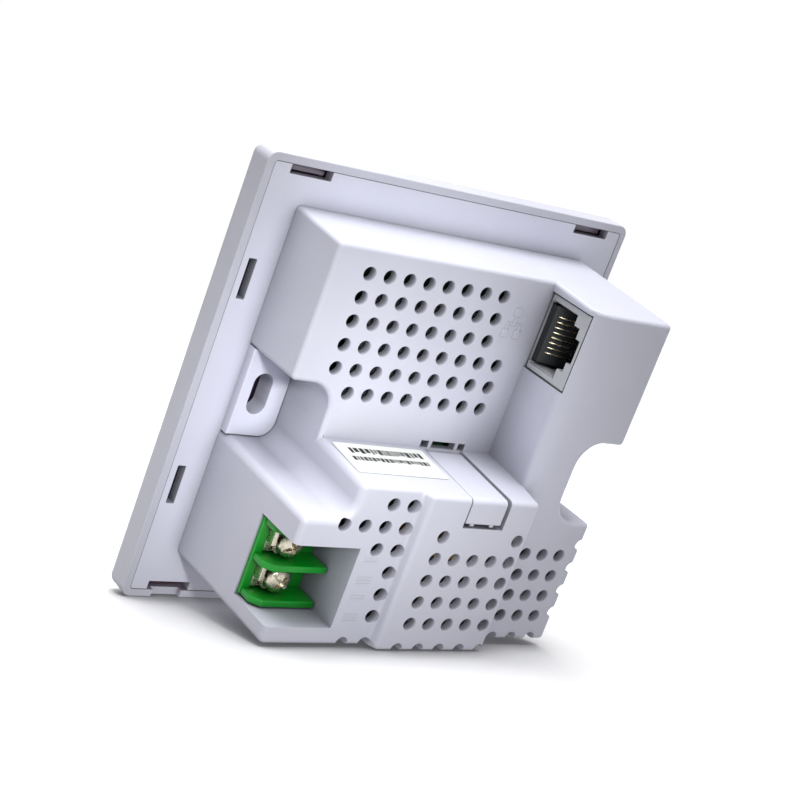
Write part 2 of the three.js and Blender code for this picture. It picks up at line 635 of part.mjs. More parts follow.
/** The main board, notched round both screw pockets. */
function mainBoard() {
  const half = bodyHalfX - BODY.wall - BOARD.margin;
  const top = topZ(boardBack) - BODY.wall - BOARD.margin;
  const bottom = bodyBottom + BODY.wall + BOARD.margin;
  const notches = [-1, 1].map((side) => pocketCut(side, BODY.wall + BOARD.margin));
  const holes = boardPosts.map(([x, z]) => barY(x, z, PCB_SCREW.radius + GAP, BOARD.y - 1,
    boardBack + 1, 10));
  return block([-half, BOARD.y, bottom], [half, boardBack, top])
    .subtract(join([...notches, ...holes]));
}

/** The power board, which stands behind the main board's lower half. */
function powerBoard() {
  const { y, x0, topZ: top, tabX0, tabX1, tabZ } = POWER_BOARD;
  const x1 = bodyHalfX - BODY.wall - BOARD.margin;
  const bottom = bodyBottom + BODY.wall + BOARD.margin;
  return block([x0, y, bottom], [x1, powerBoardBack, top])
    .add(block([tabX0, y, top - 1], [tabX1, powerBoardBack, tabZ]));
}

/** The radio shield can, open towards the board. */
function radioShield() {
  const { x, z, sizeX, sizeZ, height, skin } = SHIELD;
  const y0 = boardBack + GAP;
  return centredBlock(x, z, sizeX, sizeZ, y0, y0 + height)
    .subtract(centredBlock(x, z, sizeX - 2 * skin, sizeZ - 2 * skin, y0 - 1, y0 + height - skin));
}

/** The finned plate that takes heat from the board's front. */
function heatSpreader() {
  const { x, z, sizeX, sizeZ, thickness, fins, finPitch, finHeight } = HEAT_PLATE;
  const back = BOARD.y - GAP;
  const face = back - thickness;
  const blades = Array.from({ length: fins }, (_, index) => centredBlock(
    x, z + (index - (fins - 1) / 2) * finPitch, sizeX, 1, face - finHeight, face + 0.2,
  ));
  return centredBlock(x, z, sizeX, sizeZ, face, back).add(join(blades));
}

/** One stamped antenna: a slotted plate on two feet, standing on the board's front. */
function antenna(x) {
  const { z, width, thickness, rise, foot, footWidth, footPlaces } = ANTENNA;
  const { slitLength, slitHeight, slitShift } = ANTENNA;
  const back = BOARD.y - GAP;
  const edge = back - foot;
  const middle = edge - rise / 2;
  const plate = centredBlock(x, z, width, thickness, edge - rise, edge);
  const slit = centredBlock(
    x + slitShift, z, slitLength, 2, middle - slitHeight / 2, middle + slitHeight / 2,
  );
  const feet = footPlaces.map((dx) => centredBlock(x + dx, z, footWidth, thickness, edge - 0.2, back));
  return plate.subtract(slit).add(join(feet));
}

/** The ferrite core: a frame with a middle leg. */
function transformerCore() {
  const { x, z, sizeX, sizeZ, height, leg, yoke } = TRANSFORMER;
  const y0 = TERMINAL.boardY;
  const windowWidth = (sizeX - leg) / 2 - yoke;
  const windows = [-1, 1].map((side) => centredBlock(
    x + side * (leg + windowWidth) / 2, z, windowWidth, sizeZ + 2, y0 + yoke, y0 + height - yoke,
  ));
  return centredBlock(x, z, sizeX, sizeZ, y0, y0 + height).subtract(join(windows));
}

/** The taped winding round the middle leg. */
function transformerWinding() {
  const { x, z, sizeX, sizeZ, height, leg, yoke, coil } = TRANSFORMER;
  const y0 = TERMINAL.boardY + yoke + GAP;
  const y1 = TERMINAL.boardY + height - yoke - GAP;
  const width = sizeX - 2 * yoke - 2 * GAP;
  const ring = prismY(roundedRect(x - width / 2, x + width / 2, z - sizeZ / 2 - coil,
    z + sizeZ / 2 + coil, 2), y0, y1, 4);
  return ring.subtract(centredBlock(x, z, leg + 2 * GAP, sizeZ + 2 * GAP, y0 - 1, y1 + 1));
}

/** A can capacitor with a rolled groove near its foot, standing on the power board. */
function capacitor(z) {
  const { x, radius, height, groove } = CAPACITOR;
  const outline = [
    [0, 0], [radius, 0], [radius, 1], [radius - groove, 1.4], [radius, 1.8],
    [radius, height - 0.4], [radius - 0.5, height], [0, height],
  ].map(([r, y]) => new THREE.Vector2(r, y));
  const geometry = new THREE.LatheGeometry(outline, 20);
  geometry.translate(x, TERMINAL.boardY, z);
  return solid(geometry);
}

/** A tube fuse between two clips, lying along X. */
function fuse() {
  const { x, z, radius, length, lift, clipReach, clipWidth } = FUSE;
  const tube = new THREE.CylinderGeometry(radius, radius, length, 12);
  tube.rotateZ(Math.PI / 2);
  tube.translate(x, TERMINAL.boardY + radius + lift, z);
  const clips = [-1, 1].map((side) => centredBlock(
    x + side * clipReach, z, clipWidth, 2 * radius + lift,
    TERMINAL.boardY, TERMINAL.boardY + radius + 1,
  ));
  return solid(tube).add(join(clips));
}

/** A plain block component standing on a board. */
function chip({ x, z, sizeX, sizeZ, height }, y0) {
  return centredBlock(x, z, sizeX, sizeZ, y0, y0 + height);
}

/** A guide rod through the cover with a flange behind its skin. */
function flangedRod({ x, z, radius, flangeRadius }, frontY, backY) {
  const flangeY = coverInside + GAP;
  return barY(x, z, radius, frontY, backY, 12).add(barY(x, z, flangeRadius, flangeY, flangeY + 1, 12));
}

/** The push switch behind the reset button. */
function resetSwitch(plungerY) {
  const { size, plungerRadius, plungerHeight } = SWITCH;
  const face = plungerY + plungerHeight;
  return centredBlock(BUTTON.x, BUTTON.z, size, size, face, BOARD.y - GAP)
    .add(barY(BUTTON.x, BUTTON.z, plungerRadius, plungerY, face + 0.2, 12));
}

// ---------------------------------------------------------------- assembly

const group = new THREE.Group();

/** Adds a finished solid to the scene graph under its own name. */
function place(name, body, material, parent = group) {
  const mesh = new THREE.Mesh(geometryOf(body), material);
  mesh.name = name;
  parent.add(mesh);
  return mesh;
}

/** Adds the three pieces of a jack inside a group that is placed and turned as a whole. */
function placeJack(name, depth, footDrop, position, basis) {
  const jack = new THREE.Group();
  jack.position.set(...position);
  jack.setRotationFromMatrix(new THREE.Matrix4().makeBasis(...basis));
  place(`${name}_jack`, jackShell(depth, footDrop), MATERIAL.jackShell, jack);
  place(`${name}_contacts`, jackContacts(), MATERIAL.gold, jack);
  place(`${name}_contact_comb`, jackComb(), MATERIAL.black, jack);
  group.add(jack);
}

place('front_cover', frontCover(), MATERIAL.cover);
place('base_frame', baseFrame(), MATERIAL.shell);
place('rear_housing', rearHousing(), MATERIAL.shell);
place('latch_clip', latchClip(), MATERIAL.shell);
place('rating_label', ratingLabel(), MATERIAL.label);

place('terminal_block', terminalBlock(), MATERIAL.green);
wayZ.forEach((z, index) => {
  const way = index + 1;
  const length = headY - TERMINAL.boardY - 1.2;
  place(`terminal_plate_${way}`, contactPlate(z), MATERIAL.nickel);
  place(`terminal_clamp_${way}`, screwClamp(z), MATERIAL.nickel);
  place(`terminal_screw_${way}`,
    crossScrew(screwX, z, TERMINAL_SCREW, length, headY, 1), MATERIAL.nickel);
});

const axis = {
  x: new THREE.Vector3(1, 0, 0),
  y: new THREE.Vector3(0, 1, 0),
  z: new THREE.Vector3(0, 0, 1),
};
placeJack('wan', JACK.depth, jackBase - boardBack - GAP, [jackFace, jackBase, wanZ],
  [axis.x.clone().negate(), axis.y, axis.z.clone().negate()]);
const lanFace = LAN.recess - PANEL.depth;
placeJack('lan', BOARD.y - GAP - lanFace, 0, [LAN.x, lanFace, LAN.z + JACK.height / 2],
  [axis.y, axis.z.clone().negate(), axis.x.clone().negate()]);

place('main_board', mainBoard(), MATERIAL.boardGreen);
place('power_board', powerBoard(), MATERIAL.boardGreen);
place('board_link', centredBlock(
  BOARD_LINK.x, BOARD_LINK.z, BOARD_LINK.sizeX, BOARD_LINK.sizeZ,
  boardBack + GAP, POWER_BOARD.y - GAP,
), MATERIAL.black);
place('radio_shield', radioShield(), MATERIAL.steel);
place('processor', chip(PROCESSOR, boardBack + GAP), MATERIAL.black);
place('line_transformer', chip(LINE_TRANSFORMER, boardBack + GAP), MATERIAL.black);
place('heat_spreader', heatSpreader(), MATERIAL.aluminium);
ANTENNA.places.forEach((x, index) => place(`antenna_${index + 1}`, antenna(x), MATERIAL.steel));

place('transformer_core', transformerCore(), MATERIAL.ferrite);
place('transformer_winding', transformerWinding(), MATERIAL.tape);
CAPACITOR.places.forEach((z, index) => place(
  `capacitor_${index + 1}`, capacitor(z), MATERIAL.sleeve,
));
place('bridge_rectifier', chip(RECTIFIER, TERMINAL.boardY), MATERIAL.black);
place('fuse', fuse(), MATERIAL.ceramic);

const buttonEnd = BOARD.y - GAP - 4;
place('light_pipe', flangedRod(LIGHT, -PANEL.depth, BOARD.y - GAP - 1.2), MATERIAL.clear);
place('status_led', chip({ ...LED, x: LIGHT.x, z: LIGHT.z }, BOARD.y - GAP - LED.height),
  MATERIAL.ceramic);
place('reset_button', flangedRod(BUTTON, LAN.recess - PANEL.depth, buttonEnd), MATERIAL.cover);
place('reset_switch', resetSwitch(buttonEnd + BUTTON.travel + 0.1), MATERIAL.black);

boardPosts.forEach(([x, z], index) => {
  place(`board_screw_${index + 1}`,
    crossScrew(x, z, PCB_SCREW, PCB_SCREW.length, BOARD.y - GAP, -1), MATERIAL.steel);
});
housingPosts.forEach(([x, z], index) => {
  place(`housing_screw_${index + 1}`,
    crossScrew(x, z, HOUSING_SCREW, HOUSING_SCREW.length, frameFront + 0.9, -1), MATERIAL.steel);
});

export default group;
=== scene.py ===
"""In-wall wireless access point, seen from its wall side: a square panel with a stepped, vented body.

Sizes below are in millimetres and become metres when a workpiece is finished. +Y goes into the wall,
+Z is up and +X is to the right as seen from the room.
"""
import logging
import math
import random
from dataclasses import dataclass
from enum import Enum
from typing import Callable, Iterable, Optional, Sequence

import bmesh
import bpy
from mathutils import Matrix, Vector


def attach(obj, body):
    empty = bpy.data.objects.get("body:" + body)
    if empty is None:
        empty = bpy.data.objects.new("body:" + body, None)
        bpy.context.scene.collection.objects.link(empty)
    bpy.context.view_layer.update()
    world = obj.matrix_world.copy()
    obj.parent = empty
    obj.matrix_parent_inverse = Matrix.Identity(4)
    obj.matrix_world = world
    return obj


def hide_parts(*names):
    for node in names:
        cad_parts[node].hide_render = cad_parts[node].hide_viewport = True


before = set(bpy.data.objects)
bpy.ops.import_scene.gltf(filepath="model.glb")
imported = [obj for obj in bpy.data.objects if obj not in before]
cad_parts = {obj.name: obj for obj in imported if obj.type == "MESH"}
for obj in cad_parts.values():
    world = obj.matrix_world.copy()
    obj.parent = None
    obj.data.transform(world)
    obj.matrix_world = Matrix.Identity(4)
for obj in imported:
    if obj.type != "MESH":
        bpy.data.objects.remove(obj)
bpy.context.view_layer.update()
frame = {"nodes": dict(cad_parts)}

LOG = logging.getLogger("access_point")
MM = 0.001

Point2 = tuple[float, float]
Point3 = tuple[float, float, float]
Colour = tuple[float, float, float]
Socket = bpy.types.NodeSocket
EdgeRule = Callable[[bmesh.types.BMEdge, float, Vector], float]

# A jack's own frame in the part: its X goes into the mouth and its Y to the latch side.
WAN_PLACE = Matrix(((-1, 0, 0, -15.3), (0, 1, 0, 15.6), (0, 0, -1, 24.34), (0, 0, 0, 1)))
LAN_PLACE = Matrix(((0, 0, -1, 0), (1, 0, 0, -5.8), (0, -1, 0, -11.95), (0, 0, 0, 1)))

# The boxes and lines of the network symbol on the deck, as low and high corners in x and z.
NETWORK_MARK = (
    ((-9.7, 26.0), (-8.1, 27.6)), ((-11.2, 21.8), (-9.6, 23.4)), ((-8.2, 21.8), (-6.6, 23.4)),
    ((-9.1, 24.6), (-8.7, 26.1)), ((-10.6, 24.3), (-7.2, 24.7)), ((-10.6, 23.3), (-10.2, 24.4)),
    ((-7.6, 23.3), (-7.2, 24.4)),
)


class Axis(Enum):
    """The axis that a prism is drawn out along."""

    X = "X"
    Y = "Y"
    Z = "Z"


class Body(Enum):
    """The moving bodies that a piece can ride on."""

    ROOT = "root"
    COVER = "front_cover"
    BUTTON = "reset_button"
    LATCH = "latch_clip"
    SCREW_1 = "terminal_screw_1"
    SCREW_2 = "terminal_screw_2"
    CLAMP_1 = "terminal_clamp_1"
    CLAMP_2 = "terminal_clamp_2"
    WAN_SPRINGS = "wan_contacts"
    LAN_SPRINGS = "lan_contacts"


class Slot(Enum):
    """The record's material slots."""

    COVER = "cover"
    SHELL = "shell"
    LABEL = "label"
    GREEN = "terminal_green"
    NICKEL = "nickel"
    JACK = "jack_shell"
    GOLD = "contact_gold"
    BLACK = "black_plastic"
    BOARD = "board"
    STEEL = "steel"
    ALUMINIUM = "aluminium"
    FERRITE = "ferrite"
    TAPE = "winding_tape"
    SLEEVE = "capacitor_sleeve"
    CLEAR = "clear"
    CERAMIC = "ceramic"


# ------------------------------------------------------------------ finishes


def linear(red: int, green: int, blue: int) -> Colour:
    """A display colour, 0 to 255 a channel, as the linear colour that shaders take.

    Args:
        red: Red, 0 to 255.
        green: Green, 0 to 255.
        blue: Blue, 0 to 255.

    Returns:
        The linear colour.
    """
    def one(value: int) -> float:
        """One channel made linear."""
        share = value / 255
        return share / 12.92 if share <= 0.04045 else ((share + 0.055) / 1.055) ** 2.4
    return one(red), one(green), one(blue)


class Shader:
    """A node material under construction, with one Principled shader and object coordinates."""

    def __init__(self, name: str) -> None:
        """Starts the material.

        Args:
            name: The material's name.
        """
        self.material = bpy.data.materials.new(name)
        self.material.use_nodes = True
        self.tree = self.material.node_tree
        self.surface = self.tree.nodes["Principled BSDF"]
        self.place = self.tree.nodes.new("ShaderNodeTexCoord").outputs["Object"]

    def node(self, kind: str, **settings: object) -> bpy.types.Node:
        """Adds a node and sets its properties.

        Args:
            kind: The node's type.
            settings: Property names and values.

        Returns:
            The node.
        """
        made = self.tree.nodes.new(kind)
        for key, value in settings.items():
            setattr(made, key, value)
        return made

    def link(self, source: Socket, target: Socket) -> None:
        """Joins two sockets."""
        self.tree.links.new(source, target)

    def noise(self, scale: float, detail: float = 3.0, stretch: Point3 = (1, 1, 1)) -> Socket:
        """A noise pattern in object space.

        Args:
            scale: Cells in one metre.
            detail: Octaves.
            stretch: Scale of each axis before the noise.

        Returns:
            The pattern, about 0 to 1.
        """
        spread = self.node("ShaderNodeMapping")
        spread.inputs["Scale"].default_value = stretch
        self.link(self.place, spread.inputs["Vector"])
        made = self.node("ShaderNodeTexNoise")
        made.inputs["Scale"].default_value = scale
        made.inputs["Detail"].default_value = detail
        self.link(spread.outputs[0], made.inputs["Vector"])
        return made.outputs[0]

    def remap(self, source: Socket, low: float, high: float,
              to_low: float, to_high: float) -> Socket:
        """A pattern moved from one range to another, and kept inside it.

        Args:
            source: The pattern.
            low: Its value that becomes to_low.
            high: Its value that becomes to_high.
            to_low: The lower end afterwards.
            to_high: The upper end afterwards.

        Returns:
            The pattern in its new range.
        """
        made = self.node("ShaderNodeMapRange")
        for key, value in zip((1, 2, 3, 4), (low, high, to_low, to_high)):
            made.inputs[key].default_value = value
        self.link(source, made.inputs[0])
        return made.outputs[0]

    def blend(self, factor: Socket, first: Colour, second: Colour) -> Socket:
        """Two colours mixed by a pattern.

        Args:
            factor: 0 shows the first colour and 1 the second.
            first: A linear colour.
            second: A linear colour.

        Returns:
            The mixed colour.
        """
        made = self.node("ShaderNodeMix", data_type="RGBA")
        made.inputs[6].default_value = (*first, 1)
        made.inputs[7].default_value = (*second, 1)
        self.link(factor, made.inputs[0])
        return made.outputs[2]

    def blend_over(self, factor: Socket, under: Socket,
                   over: Colour) -> Socket:
        """A colour laid over a coloured pattern where another pattern says.

        Args:
            factor: How much of the upper colour shows.
            under: The coloured pattern below.
            over: A linear colour.

        Returns:
            The mixed colour.
        """
        made = self.node("ShaderNodeMix", data_type="RGBA")
        made.inputs[7].default_value = (*over, 1)
        self.link(under, made.inputs[6])
        self.link(factor, made.inputs[0])
        return made.outputs[2]

    def product(self, first: Socket, second: Socket) -> Socket:
        """Two patterns multiplied.

        Args:
            first: A pattern.
            second: Another pattern.

        Returns:
            Their product.
        """
        made = self.node("ShaderNodeMath", operation="MULTIPLY")
        self.link(first, made.inputs[0])
        self.link(second, made.inputs[1])
        return made.outputs[0]

    def edges(self, radius: float = 0.0003) -> Socket:
        """A mask of the piece's edges.

        Args:
            radius: How far it reaches from an edge, in metres.

        Returns:
            The mask.
        """
        soft = self.node("ShaderNodeBevel", samples=4)
        soft.inputs["Radius"].default_value = radius
        likeness = self.node("ShaderNodeVectorMath", operation="DOT_PRODUCT")
        self.link(soft.outputs[0], likeness.inputs[0])
        self.link(self.node("ShaderNodeNewGeometry").outputs["True Normal"], likeness.inputs[1])
        return self.remap(likeness.outputs["Value"], 0.99, 0.86, 0, 1)

    def openness(self, reach: float) -> Socket:
        """How open the surface lies: 1 on a free face, and near 0 deep in a hole.

        Args:
            reach: How near another surface counts, in metres.

        Returns:
            The pattern.
        """
        room = self.node("ShaderNodeAmbientOcclusion", samples=6)
        room.inputs["Distance"].default_value = reach
        return room.outputs["AO"]

    def paint_shade(self, tone: Socket, room: Socket,
               deep: Colour) -> Socket:
        """A colour with painted shade, darker in holes and corners where light is lost.

        Args:
            tone: The colour.
            room: How open the surface lies.
            deep: The painted shade colour, which the colour is multiplied by in the deepest holes.

        Returns:
            The colour with its painted shade.
        """
        made = self.node("ShaderNodeMix", data_type="RGBA", blend_type="MULTIPLY")
        made.inputs[0].default_value = 1
        self.link(tone, made.inputs[6])
        self.link(self.blend(self.remap(room, 0.05, 0.85, 0, 1), deep, (1.0, 1.0, 1.0)), made.inputs[7])
        return made.outputs[2]

    def relief(self, height: Socket, depth: float, strength: float = 1.0) -> None:
        """Adds a fine relief under those already made.

        Args:
            height: The pattern.
            depth: Its height in metres.
            strength: How much of it shows.
        """
        made = self.node("ShaderNodeBump")
        made.inputs["Strength"].default_value = strength
        made.inputs["Distance"].default_value = depth
        self.link(height, made.inputs["Height"])
        if self.surface.inputs["Normal"].is_linked:
            self.link(self.surface.inputs["Normal"].links[0].from_socket, made.inputs["Normal"])
        self.link(made.outputs[0], self.surface.inputs["Normal"])

    def base(self, colour: Socket) -> None:
        """Sends a colour to the shader's base colour."""
        self.link(colour, self.surface.inputs["Base Color"])

    def rough(self, pattern: Socket) -> None:
        """Sends a pattern to the shader's roughness."""
        self.link(pattern, self.surface.inputs["Roughness"])

    def set(self, **values: float) -> None:
        """Sets plain numbers on the shader's own sockets, with _ for a space in a name."""
        for key, value in values.items():
            self.surface.inputs[key.replace("_", " ")].default_value = value


@dataclass(frozen=True)
class MouldedPlastic:
    """Injection moulded plastic: a spark-eroded grain, slow drifts of tone, edges rubbed smooth and painted
    shade in holes and corners.
    """

    name: str
    colour: Colour
    drift: Colour
    worn: Colour
    roughness: float = 0.42
    grain: float = 0.000010
    grain_scale: float = 5200
    translucence: float = 0.0
    # reach and deep set the painted shade: how far from another surface it reaches, in metres, and the
    # colour it darkens to in the deepest holes. reach also keeps the rubbed edges to open faces.
    reach: float = 0.0022
    deep: Colour = (0.12, 0.12, 0.13)

    def material(self) -> bpy.types.Material:
        """Builds the material.

        Returns:
            The material.
        """
        shader = Shader(self.name)
        slow = shader.remap(shader.noise(38, 2), 0.35, 0.65, 0, 1)
        flecks = shader.remap(shader.noise(900, 2), 0.62, 0.78, 0, 0.22)
        tone = shader.blend(slow, self.colour, self.drift)
        tone = shader.blend_over(flecks, tone, self.drift)
        scuffs = shader.remap(shader.noise(260, 4, (1, 0.35, 1)), 0.45, 0.7, 0, 0.7)
        room = shader.openness(self.reach)
        wear = shader.product(shader.edges(), shader.product(scuffs, shader.remap(room, 0.8, 0.95, 0, 1)))
        # Painted shade: the colour is darkened in holes and corners by how open the surface lies.
        shader.base(shader.paint_shade(shader.blend_over(wear, tone, self.worn), room, self.deep))
        shader.rough(shader.remap(shader.noise(420, 4), 0.25, 0.75,
                                  self.roughness - 0.06, self.roughness + 0.07))
        shader.relief(shader.noise(self.grain_scale, 3), self.grain, 0.55)
        shader.relief(shader.noise(90, 2), 0.00006, 0.10)
        shader.set(IOR=1.5)
        if self.translucence:
            shader.set(Subsurface_Weight=self.translucence, Subsurface_Scale=0.0006)
            shader.surface.inputs["Subsurface Radius"].default_value = (1.0, 0.9, 0.85)
        return shader.material


@dataclass(frozen=True)
class PlatedMetal:
    """Plated or bare metal: fine brushing, tarnish in patches and bright rubbed edges."""

    name: str
    colour: Colour
    tarnish: Colour
    roughness: float = 0.26
    brushing: Point3 = (1, 1, 8)
    brushed_depth: float = 0.000003

    def material(self) -> bpy.types.Material:
        """Builds the material.

        Returns:
            The material.
        """
        shader = Shader(self.name)
        patches = shader.remap(shader.noise(900, 2), 0.45, 0.75, 0, 0.6)
        tone = shader.blend(patches, self.colour, self.tarnish)
        bright = tuple(min(1.0, channel * 1.15) for channel in self.colour)
        shader.base(shader.blend_over(shader.edges(), tone, bright))
        shader.rough(shader.remap(shader.noise(1500, 3), 0.3, 0.75,
                                  self.roughness - 0.08, self.roughness + 0.12))
        shader.relief(shader.noise(2200, 2, self.brushing), self.brushed_depth, 0.4)
        shader.set(Metallic=1.0)
        return shader.material


@dataclass(frozen=True)
class PaperLabel:
    """A coated paper label: faint fibres, a yellowing edge and a soft sheen."""

    name: str
    colour: Colour
    aged: Colour

    def material(self) -> bpy.types.Material:
        """Builds the material.

        Returns:
            The material.
        """
        shader = Shader(self.name)
        fibres = shader.remap(shader.noise(1600, 4, (1, 4, 1)), 0.4, 0.7, 0, 0.5)
        shader.base(shader.blend(fibres, self.colour, self.aged))
        shader.rough(shader.remap(shader.noise(500, 3), 0.3, 0.7, 0.46, 0.6))
        shader.relief(shader.noise(2600, 3), 0.000008, 0.4)
        return shader.material


@dataclass(frozen=True)
class PrintedBoard:
    """Solder mask over a woven laminate, with copper showing faintly through it."""

    name: str
    mask: Colour
    copper: Colour

    def material(self) -> bpy.types.Material:
        """Builds the material.

        Returns:
            The material.
        """
        shader = Shader(self.name)
        weave = shader.node("ShaderNodeTexWave", wave_type="BANDS", bands_direction="DIAGONAL")
        weave.inputs["Scale"].default_value = 420
        weave.inputs["Distortion"].default_value = 3
        shader.link(shader.place, weave.inputs["Vector"])
        tracks = shader.node("ShaderNodeTexVoronoi", feature="DISTANCE_TO_EDGE", distance="MANHATTAN")
        tracks.inputs["Scale"].default_value = 330
        shader.link(shader.place, tracks.inputs["Vector"])
        lines = shader.remap(tracks.outputs["Distance"], 0.05, 0.09, 0.65, 0)
        shader.base(shader.blend(lines, self.mask, self.copper))
        shader.rough(shader.remap(weave.outputs["Fac"], 0, 1, 0.28, 0.4))
        shader.relief(weave.outputs["Fac"], 0.00001, 0.3)
        return shader.material


@dataclass(frozen=True)
class ClearAcrylic:
    """Clear moulded acrylic with a faint haze and fine flow lines."""

    name: str
    colour: Colour

    def material(self) -> bpy.types.Material:
        """Builds the material.

        Returns:
            The material.
        """
        shader = Shader(self.name)
        haze = shader.remap(shader.noise(300, 3, (1, 0.2, 1)), 0.3, 0.7, 0, 1)
        shader.base(shader.blend(haze, self.colour, tuple(c * 0.94 for c in self.colour)))
        shader.rough(shader.remap(shader.noise(700, 2), 0.3, 0.7, 0.06, 0.16))
        shader.relief(shader.noise(900, 2), 0.00001, 0.3)
        shader.set(Transmission_Weight=0.75, IOR=1.49)
        return shader.material


@dataclass(frozen=True)
class PaintedFloor:
    """The plain pale floor, with a painted contact shadow where the object stands close over it."""

    name: str
    colour: Colour
    glow: float = 0.03

    def material(self) -> bpy.types.Material:
        """Builds the material.

        Returns:
            The material.
        """
        shader = Shader(self.name)
        tone = shader.blend(shader.noise(6, 2), self.colour, tuple(c * 0.985 for c in self.colour))
        # Painted contact shadow: the floor darkens near the object by how open it lies.
        shader.base(shader.paint_shade(tone, shader.openness(0.008), (0.2, 0.2, 0.2)))
        shader.rough(shader.remap(shader.noise(14, 2), 0.3, 0.7, 0.55, 0.65))
        shader.set(Emission_Color=(1, 1, 1, 1), Emission_Strength=self.glow)
        return shader.material


@dataclass(frozen=True)
class FinishBook:
    """Every finish of the object, made once."""

    shell: bpy.types.Material
    frame: bpy.types.Material
    cover: bpy.types.Material
    green: bpy.types.Material
    nickel: bpy.types.Material
    jack: bpy.types.Material
    gold: bpy.types.Material
    black: bpy.types.Material
    label: bpy.types.Material
    ink: bpy.types.Material
    board: bpy.types.Material
    steel: bpy.types.Material
    aluminium: bpy.types.Material
    ferrite: bpy.types.Material
    tape: bpy.types.Material
    sleeve: bpy.types.Material
    clear: bpy.types.Material
    ceramic: bpy.types.Material
    floor: bpy.types.Material

    @classmethod
    def make(cls) -> "FinishBook":
        """Builds all the finishes.

        Returns:
            The book.
        """
        plastic = MouldedPlastic
        # Each plastic's reach and deep set how far and how dark its painted shade in holes and corners goes.
        return cls(
            shell=plastic("housing_plastic", linear(218, 219, 232), linear(213, 214, 228),
                          linear(233, 233, 242), 0.4, translucence=0.06, reach=0.013).material(),
            frame=plastic("frame_plastic", linear(235, 236, 250), linear(230, 231, 246),
                          linear(243, 243, 252), 0.4, translucence=0.06, reach=0.005).material(),
            # The cover's painted shade is tinted mauve-pink, which shows in its slots and hollows.
            cover=plastic("cover_plastic", linear(218, 219, 230), linear(213, 214, 226),
                          linear(232, 232, 240), 0.36, 0.000007, translucence=0.06,
                          reach=0.009, deep=(0.28, 0.17, 0.22)).material(),
            green=plastic("terminal_green", linear(4, 158, 38), linear(4, 142, 32),
                          linear(52, 182, 70), 0.34, 0.000006, reach=0.005).material(),
            nickel=PlatedMetal("nickel_plate", linear(206, 199, 182), linear(150, 138, 112)).material(),
            jack=plastic("jack_plastic", linear(206, 208, 211), linear(198, 200, 203),
                         linear(218, 219, 222), 0.42, reach=0.009).material(),
            gold=PlatedMetal("contact_gold", linear(222, 211, 180), linear(172, 160, 130), 0.24).material(),
            black=plastic("black_plastic", linear(34, 37, 40), linear(26, 28, 31),
                          linear(66, 70, 72), 0.42).material(),
            label=PaperLabel("label_paper", linear(240, 243, 236), linear(226, 230, 222)).material(),
            ink=plastic("label_ink", linear(22, 22, 25), linear(34, 34, 37), linear(60, 60, 62),
                        0.6).material(),
            board=PrintedBoard("solder_mask", linear(16, 58, 34), linear(36, 84, 50)).material(),
            steel=PlatedMetal("tinned_steel", linear(172, 176, 180), linear(130, 132, 134),
                              0.3).material(),
            aluminium=PlatedMetal("bare_aluminium", linear(188, 190, 194), linear(160, 162, 166),
                                  0.36).material(),
            ferrite=plastic("ferrite", linear(52, 53, 58), linear(42, 43, 47), linear(88, 88, 92),
                            0.62, 0.00002, 3000).material(),
            tape=plastic("winding_tape", linear(222, 178, 60), linear(206, 160, 48),
                         linear(232, 196, 92), 0.4).material(),
            sleeve=plastic("capacitor_sleeve", linear(34, 48, 78), linear(28, 40, 66),
                           linear(64, 78, 104), 0.3).material(),
            clear=ClearAcrylic("clear_acrylic", linear(240, 246, 247)).material(),
            ceramic=plastic("pale_ceramic", linear(232, 228, 214), linear(222, 216, 200),
                            linear(240, 238, 228), 0.38).material(),
            floor=PaintedFloor("studio_floor", linear(238, 238, 239)).material(),
        )


# ------------------------------------------------------------------ workpieces


def arc(centre: Point2, radius: float, start: float, end: float, steps: int) -> list[Point2]:
    """Points on an arc.

    Args:
        centre: Its centre.
        radius: Its radius.
        start: First angle in degrees.
        end: Last angle in degrees.
        steps: Number of chords.

    Returns:
        steps + 1 points.
    """
    angles = (math.radians(start + (end - start) * i / steps) for i in range(steps + 1))
    return [(centre[0] + radius * math.cos(a), centre[1] + radius * math.sin(a)) for a in angles]


def rounded_box(x0: float, x1: float, z0: float, z1: float, radius: float,
                steps: int = 10) -> list[Point2]:
    """The outline of a rectangle with rounded corners.

    Args:
        x0: Low side.
        x1: High side.
        z0: Low side the other way.
        z1: High side the other way.
        radius: Corner radius.
        steps: Chords in each corner.

    Returns:
        The outline's points.
    """
    corners = ((x1 - radius, z1 - radius, 0), (x0 + radius, z1 - radius, 90),
               (x0 + radius, z0 + radius, 180), (x1 - radius, z0 + radius, 270))
    return [p for cx, cz, turn in corners for p in arc((cx, cz), radius, turn, turn + 90, steps)]


def outside(radius: float, least_turn: float = 60.0, above: float = -math.inf) -> EdgeRule:
    """A rule that rounds the outside edges of a workpiece.

    Args:
        radius: The radius that it gives.
        least_turn: Edges that turn less than this many degrees stay sharp.
        above: Edges whose middle has a lower y stay sharp.

    Returns:
        The rule.
    """
    return lambda _, turn, middle: radius if turn > least_turn and middle.y > above else 0.0


